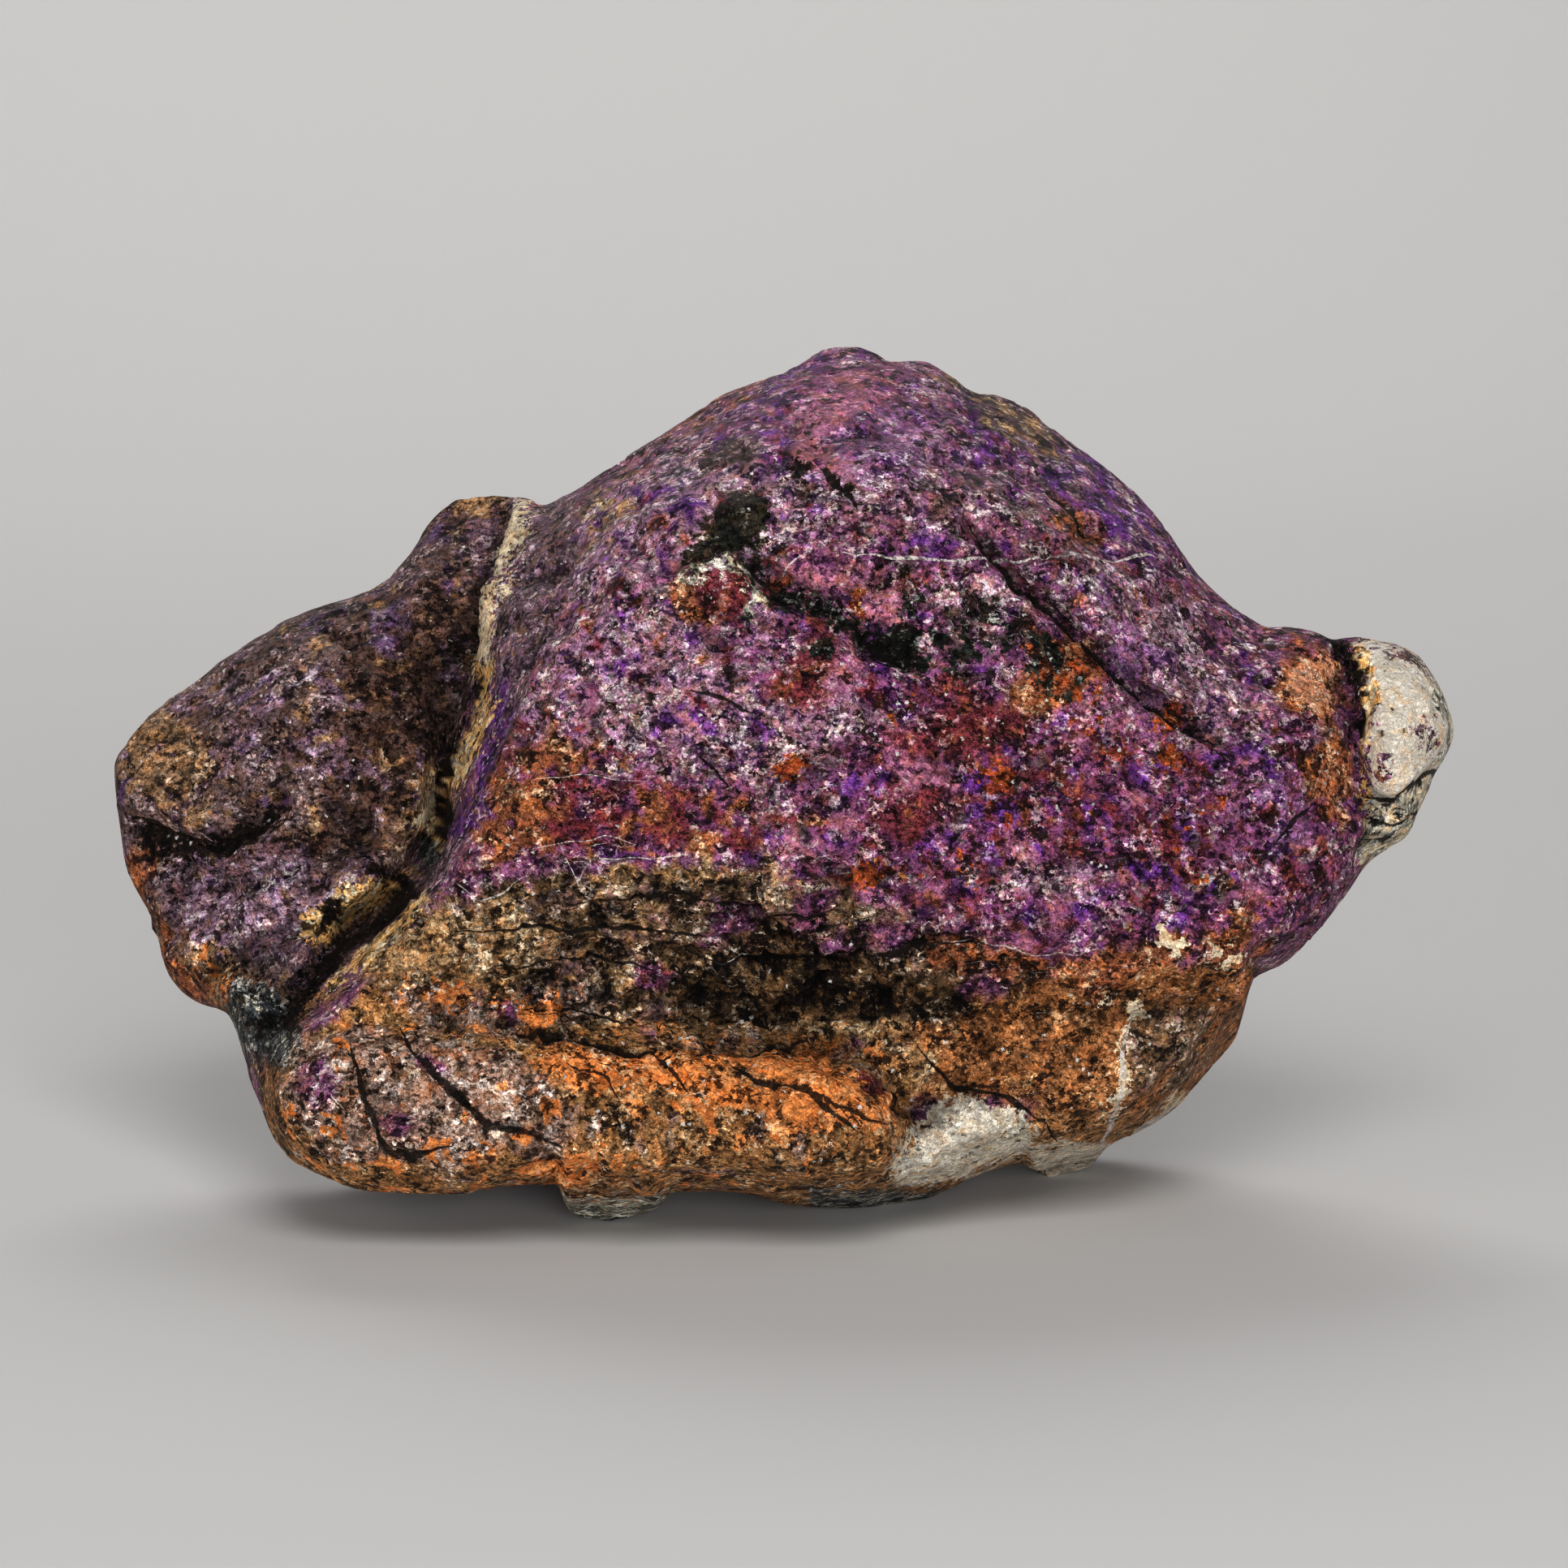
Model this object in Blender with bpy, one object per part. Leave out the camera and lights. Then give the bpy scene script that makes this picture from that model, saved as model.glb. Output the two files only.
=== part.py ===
# A purpurite hand specimen: one natural lump, so it is one closed solid.
# Its forms are drawn as they are seen from the front, in millimetres: x to the right, height up the
# view and depth away from the viewer. The view looks down on the lump a little, from a set distance,
# and the drawn surface is then carried out along the lines of sight into the upright frame.

import itertools
import math

import bpy
import numpy as np

MM = 0.001

# Driving dimensions, in millimetres: the lump, the view it is drawn in, and the middle it is moved to
HALF_LENGTH = 37.5
EYE_DISTANCE = 420.0
EYE_HEIGHT = 23.8
EYE_TILT = math.radians(8.0)
SHIFT_TO_CENTRE = (0.35, -3.22)

# How the rings round off at the outline, how far its small bumps reach in, and the thinnest the lump gets
RING_POWER = 3.0
SMALLEST_SWELL = 0.12
BUMP_REACH = 0.24
THINNEST = 2.0
ROUND_TOP = 9.0
ROUND_BOTTOM = 2.8

# How fine the drawn surface is, and how many triangles the solid keeps
RINGS = 260
AROUND = 180
TRIANGLES = 9400

# The outline from above, as (x, height), and how deep the widest line lies there, as (x, depth)
TOP_OUTLINE = [
    (-37.5, 24.7), (-37.3, 25.4), (-36.6, 26.2), (-35.3, 27.8), (-33.2, 29.4), (-30.5, 31.4),
    (-27.1, 33.2), (-23.7, 34.5), (-22.3, 35.2), (-21.0, 36.6), (-19.6, 38.7), (-18.2, 39.7),
    (-16.6, 40.0), (-14.6, 39.8), (-13.5, 39.3), (-12.1, 39.9), (-9.4, 41.6), (-6.6, 43.5),
    (-3.9, 45.3), (0.9, 47.2), (2.2, 48.0), (3.8, 48.3), (5.0, 48.0), (5.9, 47.4), (7.7, 47.5),
    (9.0, 46.9), (10.4, 45.8), (12.7, 45.2), (15.2, 43.6), (20.0, 39.8), (23.4, 35.3),
    (25.4, 33.4), (27.0, 32.5), (29.5, 32.3), (30.7, 31.8), (31.8, 32.0), (33.6, 31.8),
    (35.2, 31.2), (36.5, 29.6), (37.3, 27.8), (37.5, 26.8),
]
TOP_DEPTH = [
    (-37.5, 6), (-30, 7), (-19, 7), (-13, 5.5), (-8, 5), (4, 6.5), (12, 6.5), (22, 3), (30, -1), (37.5, -1),
]

# The outline from below in the same way
BOTTOM_OUTLINE = [
    (-37.5, 24.7), (-37.3, 22.3), (-36.6, 18.6), (-35.3, 16.1), (-34.6, 13.6), (-33.2, 11.8),
    (-31.2, 10.9), (-30.7, 10.0), (-30.3, 8.4), (-29.1, 5.4), (-28.4, 3.8), (-26.4, 2.2),
    (-23.7, 1.0), (-18.9, 0.8), (-14.8, 1.3), (-12.7, 1.4), (-12.1, -0.2), (-9.4, -0.7),
    (-7.4, -0.2), (-6.0, 1.0), (-1.9, 0.9), (0.2, 0.3), (3.6, 0.1), (7.7, 0.5), (10.4, 1.7),
    (13.3, 2.5), (14.5, 1.6), (17.2, 2.2), (18.0, 3.3), (21.3, 5.2), (24.0, 8.1), (25.5, 10.0),
    (25.9, 12.7), (28.1, 14.0), (30.9, 16.8), (32.9, 19.5), (35.0, 20.9), (35.7, 22.6),
    (36.8, 24.9), (37.5, 26.8),
]
BOTTOM_DEPTH = [
    (-37.5, 6), (-34, 4), (-31, -1), (-29, -8), (-25.5, -13.4), (-18, -13.6), (-14.5, -12.4), (-12.4, -5.2),
    (-9.4, -3.4), (-7.6, -4.2), (-5.6, -9.4), (-1.4, -9), (0.8, -4), (2.4, 0), (4, 1), (9, 1.5), (12, 2.5),
    (14.5, 8.5), (16, 11.5), (18, 9), (22, 6), (26, 4), (30, 1), (37.5, -1),
]


def smooth_curve(points, x):
    """Reads a curve through (x, value) points with flat peaks and no overshoot between them."""
    known, value = np.array(points, float).T
    step = np.diff(known)
    rise = np.diff(value) / step
    slope = np.zeros(len(known))
    same_way = rise[:-1] * rise[1:] > 0
    harmonic = 2 * rise[:-1] * rise[1:] / np.where(same_way, rise[:-1] + rise[1:], 1)
    slope[1:-1] = np.where(same_way, harmonic, 0)
    slope[0], slope[-1] = rise[0], rise[-1]
    at = np.clip(np.searchsorted(known, x) - 1, 0, len(step) - 1)
    t = np.clip((x - known[at]) / step[at], 0, 1)
    from_start = (1 + 2 * t) * (1 - t) ** 2 * value[at] + t * (1 - t) ** 2 * step[at] * slope[at]
    from_end = t * t * (3 - 2 * t) * value[at + 1] - t * t * (1 - t) * step[at] * slope[at + 1]
    return from_start + from_end


def end_curve(points, along):
    """The same, for an outline that closes round at both ends: along runs from 0 to pi."""
    turned = [(math.acos(max(-1.0, min(1.0, -x / HALF_LENGTH))), value) for x, value in points]
    return smooth_curve(turned, along)


def broad_curve(points, along):
    """An outline without its small bumps: the mean of places to either side, closer near the ends."""
    steps = SMALLEST_SWELL * np.linspace(-1, 1, 5)
    return sum(end_curve(points, along + step * np.sin(along)) for step in steps) / len(steps)


def eased(t):
    """Goes from 0 to 1 as t does, starting and ending level."""
    t = np.clip(t, 0, 1)
    return t * t * (3 - 2 * t)


def lower_of(a, b, blend):
    """Whichever surface is nearer the viewer, with the crease between them filled by blend."""
    mixed = np.clip(0.5 + 0.5 * (b - a) / blend, 0, 1)
    return b + (a - b) * mixed - blend * mixed * (1 - mixed)


def further_of(a, b, blend):
    """Whichever surface is further from the viewer, blended in the same way."""
    return -lower_of(-a, -b, blend)


def beyond(distance, rounding):
    """Distance past a line and nothing before it, with the corner rounded."""
    return 0.5 * (distance + np.sqrt(distance * distance + rounding * rounding))


def fold(x, v, start, end, slope, rounding):
    """How far back a face goes left of the line from start to end, at that slope."""
    run = np.subtract(end, start)
    run = run / np.hypot(*run)
    return slope * beyond((v - start[1]) * run[0] - (x - start[0]) * run[1], rounding)


def lump(x, v, centre, radii, front, fall, power=2.0, turn=0.0):
    """A rounded form whose front is nearest at its centre, and falls back by fall at its radii."""
    c, s = math.cos(turn), math.sin(turn)
    across, up = x - centre[0], v - centre[1]
    out = np.hypot((across * c + up * s) / radii[0], (up * c - across * s) / radii[1])
    return front + fall * out**power


def to_path(x, v, path):
    """Distance to a path of straight runs, and how far along it that is, from 0 to 1."""
    corners = np.array(path, float)
    lengths = np.hypot(*np.diff(corners, axis=0).T)
    best, where = np.full(np.shape(x), 1e9), np.zeros(np.shape(x))
    for i, (a, b) in enumerate(zip(corners[:-1], corners[1:])):
        t = ((x - a[0]) * (b[0] - a[0]) + (v - a[1]) * (b[1] - a[1])) / lengths[i] ** 2
        t = np.clip(t, 0, 1)
        far = np.hypot(x - a[0] - t * (b[0] - a[0]), v - a[1] - t * (b[1] - a[1]))
        nearer = far < best
        best = np.where(nearer, far, best)
        where = np.where(nearer, (lengths[:i].sum() + t * lengths[i]) / lengths.sum(), where)
    return best, where


def groove(x, v, path, width, depth):
    """A furrow along a path, widest and deepest in its middle and closing at its ends."""
    distance, along = to_path(x, v, path)
    return depth * eased(np.minimum(along, 1 - along) * 4) * np.exp(-((distance / width) ** 2))


def noise(points, size, seed):
    """Smooth three-way gradient noise from about -0.7 to 0.7, with hills that size across."""
    random = np.random.default_rng(seed)
    order = random.permutation(256)
    ways = random.normal(size=(256, 3))
    ways /= np.linalg.norm(ways, axis=1)[:, None]
    place = points / size
    cell = np.floor(place).astype(int)
    inside = place - cell
    ease = inside**3 * (inside * (inside * 6 - 15) + 10)
    total = np.zeros(points.shape[:-1])
    for corner in itertools.product((0, 1), repeat=3):
        at = cell + corner
        mixed = order[(order[(order[at[..., 0] % 256] + at[..., 1]) % 256] + at[..., 2]) % 256]
        share = np.prod(np.where(corner, ease, 1 - ease), axis=-1)
        total += share * np.sum(ways[mixed] * (inside - corner), axis=-1)
    return total


# The left edge of the purple face and the crevice beyond it, as (height, x)
SHOULDER = [
    (8, -28.6), (11.3, -25.9), (14.1, -22.7), (17.7, -19.6), (20.9, -17.4), (24.5, -15.7),
    (28.2, -14.0), (31.3, -12.7), (35, -11.2), (38.6, -8.9), (42.3, -5.3), (46.3, -1.2), (50, 2),
]
CREVICE = [
    (6, -30.4), (9.1, -28.9), (12.7, -26.8), (17.3, -22.7), (20.4, -20.2), (26.8, -18.6),
    (33.6, -16.8), (39.5, -14.1), (42.0, -12.2), (46.0, -8.0), (50, -4.0),
]
FACET_FALL = 14.0


def main_mass(x, v):
    """The purple body: a face that leans back, with its left facet, crown, right slope and under edge."""
    shoulder = smooth_curve(SHOULDER, v)
    crevice = smooth_curve(CREVICE, v)
    depth = -15.2 + 0.10 * (v - 20) + 0.06 * (x - 4)
    depth = depth + FACET_FALL * beyond((shoulder - x) / (shoulder - crevice), 0.35)
    depth = depth + fold(x, v, (-9.0, 38.0), (16.0, 41.0), 0.5, 2.5)
    depth = depth + fold(x, v, (10.6, 38.2), (24.7, 26.3), 0.6, 0.8)
    depth = depth + fold(x, v, (27.5, 36.0), (28.0, 14.0), 0.9, 1.6)
    depth = depth - 0.9 * np.exp(-(((x - 0.5) / 8) ** 2) - ((v - 28.5) / 3.4) ** 2)
    depth = depth - 0.6 * np.exp(-(((x + 4.0) / 2.1) ** 4) - ((v - 34.2) / 1.7) ** 4)
    depth = depth + 0.8 * np.exp(-(((x - 12.0) / 4) ** 2) - ((v - 32.5) / 2.2) ** 2)
    edge = smooth_curve(UNDER_EDGE, x)
    return depth + smooth_curve(UNDER_SLOPE, x) * beyond(edge - v, 1.0)


# Where the purple face turns under, as (x, height), and how fast it goes back below that
UNDER_EDGE = [
    (-24, 16.6), (-17, 19.0), (-10, 19.6), (-4, 19.8), (2, 18.0), (8, 15.4), (14, 15.0), (20, 14.2),
    (24, 13.4), (27, 13.0), (32, 17),
]
UNDER_SLOPE = [
    (-24, 0.25), (-14, 0.4), (-6, 0.6), (0, 0.9), (8, 0.8), (14, 0.8), (20, 1.2), (26, 2.4), (32, 2.6),
]


# The line under which the end of the lobe folds in, as (x, height)
LOBE_FOLD = [(-38, 23.2), (-35.4, 21.0), (-32.6, 19.9), (-30, 19.7), (-27.6, 20.8), (-25, 23)]


def left_lobe(x, v):
    """Rounded forms set back behind the main body, with a fold between the lower two."""
    upper = lump(x, v, (-20.5, 34.0), (7.0, 6.5), 0.4, 4.5, 2.0, 0.7)
    middle = lump(x, v, (-28.4, 26.0), (10.5, 8.4), -3.0, 5.0, 2.2, 0.55)
    lower = lump(x, v, (-27.5, 16.0), (9.5, 7.4), -3.0, 4.0, 2.4, 0.35)
    lobe = lower_of(lower_of(upper, middle, 2.0), lower, 3.0)
    under = np.maximum(smooth_curve(LOBE_FOLD, x) - v, 0)
    step = (1 - np.exp(-((under / 0.8) ** 2))) * np.exp(-under / 3.5)
    lobe = lobe + 3.2 * (1 - eased((x + 33.5) / 8)) * step
    crumb = lump(x, v, (-21.4, 22.4), (1.7, 3.0), -2.6, 1.5, 2.0, -0.3)
    second_crumb = lump(x, v, (-24.2, 17.8), (2.8, 1.5), -4.4, 1.5, 2.0, 0.7)
    stub = lump(x, v, (-29.2, 9.6), (2.6, 3.0), -8.0, 3.0, 2.0, 0.5)
    crumbs = lower_of(crumb, second_crumb, 0.8)
    return lower_of(lower_of(lobe, crumbs, 1.0), stub, 0.6)


def front_ledge(x, v):
    """The thick rounded step along the foot of the front, from its nose at the left."""
    distance, along = to_path(x, v, [(-23.4, 6.2), (-14.0, 5.6), (1.6, 4.6)])
    above = eased((v - 4.5) / 3)
    fall = 4.2 * (distance / (5.2 - 0.9 * along)) ** 3.6
    nose = -17.6 + fall * (0.45 + 0.55 * above)
    tongue = lump(x, v, (-16.5, 10.6), (8.0, 3.2), -15.2, 3.0, 2.4, -0.12)
    return lower_of(nose, tongue, 1.2)


def lower_right_lobe(x, v):
    """The brown form under the right of the main body, with the white spall at its foot."""
    lobe = lump(x, v, (15.5, 9.0), (11.5, 8.0), -12.2, 5.0, 2.8, 0.1)
    middle = lump(x, v, (7.0, 9.0), (6.0, 6.5), -12.6, 3.0, 2.2)
    spall = lump(x, v, (9.8, 3.0), (4.6, 3.0), -12.6, 2.0, 4.0, 0.25)
    return lower_of(lower_of(lobe, middle, 1.5), spall, 0.9)


def white_knob(x, v):
    """The block of white matrix on the right end, with the layer under it."""
    block = lump(x, v, (35.2, 27.2), (3.2, 5.6), -10.2, 2.6, 3.4, 0.12)
    layer = lump(x, v, (34.2, 22.0), (2.8, 4.0), -8.0, 3.0, 3.0, 0.3)
    return lower_of(block, layer, 0.4)


CREVICE_FLOOR = [
    (-18.0, 29.5), (-19.2, 24.4), (-20.0, 20.8), (-22.2, 17.8), (-24.6, 15.6), (-27.0, 12.9), (-29.4, 9.6),
]

# Furrows in the front and in the back: the path, the width and the depth of each
FRONT_GROOVES = [
    ([(-13.6, 41.0), (-14.6, 38.6), (-17.0, 33.0), (-18.8, 26.8), (-20.2, 21.4)], 0.6, 1.4),
    (CREVICE_FLOOR, 0.6, 4.6),
    ([(30.4, 34.0), (31.2, 31.6), (32.0, 29.0), (32.4, 26.4), (32.2, 23.0)], 0.8, 1.8),
    ([(9.0, 40.2), (10.6, 38.2), (15.2, 33.6), (19.7, 29.5), (24.7, 26.3), (26.6, 25.4)], 0.6, 1.3),
    ([(-4.6, 38.8), (-1.6, 35.9), (1.5, 34.1), (4.3, 31.8), (7.5, 30.9), (10.8, 32.4)], 0.8, 1.1),
    ([(-16.0, 12.2), (-12.4, 11.0), (-9.0, 9.9), (-3.0, 10.1), (1.6, 9.4), (4.6, 7.4), (6.6, 4.6)], 0.7, 1.0),
    ([(12.6, 1.4), (13.6, 3.6), (14.0, 6.4)], 0.6, 1.2),
]
BACK_GROOVES = [
    ([(-13.6, 39.6), (-15.4, 30.0), (-18.6, 18.0), (-21.0, 6.0)], 1.5, 2.6),
    ([(31.0, 32.6), (30.2, 26.0), (31.0, 18.0)], 1.0, 1.6),
    ([(-12.0, 26.0), (-2.0, 23.0), (9.0, 25.5), (17.0, 22.0)], 1.4, 1.6),
]


def front_depth(x, v):
    """The whole front, as one depth for each place in the view."""
    crown = lump(x, v, (3.4, 45.6), (3.4, 2.4), -8.0, 2.0)
    crown = lower_of(crown, lump(x, v, (12.4, 43.0), (3.6, 2.2), -5.0, 2.0, 2.0, -0.6), 2.0)
    depth = lower_of(lower_of(main_mass(x, v), crown, 2.5), left_lobe(x, v), 0.8)
    depth = lower_of(depth, front_ledge(x, v), 1.0)
    depth = lower_of(depth, lower_right_lobe(x, v), 0.8)
    depth = lower_of(depth, white_knob(x, v), 0.4)
    return depth + sum(groove(x, v, *furrow) for furrow in FRONT_GROOVES)


def back_depth(x, v):
    """The back: broken faces that meet in dull ridges, and the crevice coming through."""
    depth = 20.0 - 0.10 * np.abs(x - 4.0)
    depth = depth - fold(x, v, (-12.0, 31.0), (24.0, 27.0), 0.42, 2.0)
    depth = depth - fold(x, v, (-14.0, 2.0), (-9.0, 42.0), 0.5, 2.0)
    depth = depth - fold(x, v, (17.0, 44.0), (20.0, 0.0), 0.75, 2.0)
    depth = depth - fold(x, v, (26.0, 12.0), (-30.0, 9.0), 0.3, 2.0)
    lobe = -lump(x, v, (-26.0, 21.0), (13.0, 14.0), -17.0, 6.0)
    boss = -lump(x, v, (13.0, 14.0), (10.0, 8.0), -21.0, 5.0, 2.0, 0.3)
    depth = further_of(further_of(depth, lobe, 1.5), boss, 1.0)
    return depth - sum(groove(x, v, *furrow) for furrow in BACK_GROOVES)


# Places under the lump that touch the ground, as (x, depth from the viewer, radius)
FEET = [(-9.6, -4.6, 2.6), (4.4, 1.8, 3.6), (15.4, 13.0, 2.8), (-7.0, 15.5, 5.0)]
HOLLOW = 1.2
BELOW = 0.8


def ground(x, y):
    """The lowest the underside goes: past the cut at the feet, and above it between them."""
    clear = np.min([np.hypot(x - fx, y - fy) / radius for fx, fy, radius in FEET], axis=0)
    lumps = noise(np.stack([x, y, 0 * x], axis=-1), 4.5, 9)
    return -BELOW + (HOLLOW + BELOW + 1.2 * lumps) * eased((clear - 0.8) / 1.2)


def outward(places):
    """The direction straight out of the surface at each place."""
    ringwise = np.gradient(places, axis=0)
    round_it = np.roll(places, -1, axis=1) - np.roll(places, 1, axis=1)
    normal = np.cross(ringwise, round_it)
    return normal / np.maximum(np.linalg.norm(normal, axis=-1, keepdims=True), 1e-9)


def roughened(places, calm):
    """Lumps and shallow pits all over, coarser behind, which fade at the two ends and where calm is low."""
    behind = np.clip((places[..., 2] - 4) / 6, 0, 1)
    relief = 0.7 * noise(places, 9.0, 3) + 0.45 * noise(places, 4.2, 5) + 0.16 * noise(places, 2.2, 6)
    relief = relief + behind * 1.4 * noise(places, 8.0, 8)
    ends = np.clip((HALF_LENGTH - np.abs(places[..., 0])) / 3, 0, 1)
    return places + outward(places) * (relief * ends * calm)[..., None]


def rounding(clear, radius):
    """How fully the surface stands out, from 0 on the outline to 1 where it is clear by the radius."""
    short = 1 - np.clip(clear / radius, 0, 1)
    return np.sqrt(1 - short * short)


def smoothed(places):
    """Each place moved half way to the mean of its four neighbours, except on the end rings."""
    across = (places[:-2, :] + places[2:, :]) / 2
    around = (np.roll(places, 1, axis=1) + np.roll(places, -1, axis=1))[1:-1] / 2
    inner = places[1:-1] / 2 + (across + around) / 4
    return np.concatenate([places[:1], inner, places[-1:]])


def surface(rings, around):
    """Places on the lump, ring by ring from the left end to the right, in millimetres."""
    along = np.linspace(0, math.pi, rings)[:, None] + np.zeros(around)
    turn = np.linspace(0, 2 * math.pi, around, endpoint=False) + np.zeros((rings, 1))
    x = -HALF_LENGTH * np.cos(along)
    top, bottom = end_curve(TOP_OUTLINE, along), end_curve(BOTTOM_OUTLINE, along)
    c, s = np.cos(turn), np.sin(turn)
    up = c * (np.abs(c) ** RING_POWER + np.abs(s) ** RING_POWER) ** (-1 / RING_POWER)
    calm_top = np.minimum(broad_curve(TOP_OUTLINE, along), top)
    calm_bottom = np.maximum(broad_curve(BOTTOM_OUTLINE, along), bottom)
    at_rim = np.exp(-((s / BUMP_REACH) ** 2))
    top = calm_top + (top - calm_top) * at_rim
    bottom = calm_bottom + (bottom - calm_bottom) * at_rim
    half = np.maximum((top - bottom) / 2, 0.01)
    v = (top + bottom) / 2 + half * up
    out = rounding(top - v, np.minimum(ROUND_TOP, half))
    out = out * rounding(v - bottom, np.minimum(ROUND_BOTTOM, half)) * np.sin(along) ** 0.4
    share = eased((v - bottom) / (2 * half))
    rim = smooth_curve(BOTTOM_DEPTH, x) * (1 - share) + smooth_curve(TOP_DEPTH, x) * share
    behind = back_depth(x, v)
    ahead = np.minimum(front_depth(x, v), behind - THINNEST)
    front = rim + (ahead - rim) * out
    back = rim + (behind - rim) * out
    places = np.stack([x, v, np.where(s > 0, front, back)], axis=-1)
    return roughened(smoothed(places), 1 - 0.7 * np.abs(up) ** 12)


def upright(places):
    """Carries drawn places out along the lines of sight, into the frame that the lump stands in."""
    x, v, depth = np.moveaxis(places, -1, 0)
    spread = 1 + depth / EYE_DISTANCE
    x, v = x * spread, EYE_HEIGHT + (v - EYE_HEIGHT) * spread
    y = v * math.sin(EYE_TILT) + depth * math.cos(EYE_TILT)
    z = v * math.cos(EYE_TILT) - depth * math.sin(EYE_TILT)
    z = np.maximum(z, ground(x, y))
    return np.stack([x + SHIFT_TO_CENTRE[0], y + SHIFT_TO_CENTRE[1], z], axis=-1)


def closed_mesh(name, grid):
    """A mesh of the rings, with each end ring drawn in to one point."""
    rings, around = grid.shape[:2]
    points = np.vstack([grid[:1, 0], grid[1:-1].reshape(-1, 3), grid[-1:, 0]])
    first = 1 + np.arange((rings - 3) * around).reshape(rings - 3, around)
    beside = first + 1 - around * (np.arange(around) == around - 1)
    quads = np.stack([first, first + around, beside + around, beside], axis=-1).reshape(-1, 4)
    faces = quads.tolist()
    last = len(points) - 1
    for i in range(around):
        j = (i + 1) % around
        faces.append((0, 1 + i, 1 + j))
        faces.append((last, last - around + j, last - around + i))
    mesh = bpy.data.meshes.new(name)
    mesh.from_pydata((points * MM).tolist(), [], faces)
    mesh.shade_smooth()
    return mesh


def purple_stone():
    material = bpy.data.materials.new("purple_stone")
    material.use_nodes = True
    shader = material.node_tree.nodes["Principled BSDF"]
    shader.inputs["Base Color"].default_value = (0.16, 0.07, 0.19, 1)
    shader.inputs["Roughness"].default_value = 0.62
    shader.inputs["Metallic"].default_value = 0.0
    return material


def main():
    for leftover in list(bpy.data.objects):
        bpy.data.objects.remove(leftover)
    grid = upright(surface(RINGS, AROUND))
    mesh = closed_mesh("purpurite_rock", grid)
    rock = bpy.data.objects.new("purpurite_rock", mesh)
    bpy.context.scene.collection.objects.link(rock)
    rock.data.materials.append(purple_stone())
    thin = rock.modifiers.new("fewer_faces", "DECIMATE")
    thin.ratio = TRIANGLES / (2 * RINGS * AROUND)
    thin.use_collapse_triangulate = True
    bpy.ops.mesh.primitive_cube_add(size=1, location=(0, 0, -0.01))
    base = bpy.context.object
    base.name = "base_cut"
    base.scale = (0.2, 0.2, 0.02)
    bpy.ops.object.transform_apply(location=False, rotation=False, scale=True)
    base.hide_render = True
    base.display_type = "WIRE"
    cut = rock.modifiers.new("flat_feet", "BOOLEAN")
    cut.operation = "DIFFERENCE"
    cut.solver = "EXACT"
    cut.object = base


main()
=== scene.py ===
import itertools
import math
import statistics
from functools import partial

import bpy
import numpy as np
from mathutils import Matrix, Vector


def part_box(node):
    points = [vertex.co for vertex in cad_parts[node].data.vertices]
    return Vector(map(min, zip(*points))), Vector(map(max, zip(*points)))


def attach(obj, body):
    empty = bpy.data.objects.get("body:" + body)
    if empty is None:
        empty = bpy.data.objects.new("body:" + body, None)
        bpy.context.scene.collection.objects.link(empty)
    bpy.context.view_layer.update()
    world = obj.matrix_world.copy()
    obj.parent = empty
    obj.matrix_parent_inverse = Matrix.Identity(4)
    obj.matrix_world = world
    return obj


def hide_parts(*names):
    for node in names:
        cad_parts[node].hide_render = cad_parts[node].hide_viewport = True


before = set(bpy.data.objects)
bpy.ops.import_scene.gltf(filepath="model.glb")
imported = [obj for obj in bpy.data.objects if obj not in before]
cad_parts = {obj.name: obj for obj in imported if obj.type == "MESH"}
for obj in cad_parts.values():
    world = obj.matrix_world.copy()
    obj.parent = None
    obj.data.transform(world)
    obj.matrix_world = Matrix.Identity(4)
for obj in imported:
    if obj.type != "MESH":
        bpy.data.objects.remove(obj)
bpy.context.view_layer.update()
print("frame loaded")

perMetre = 1000.0  # millimetres

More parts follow.
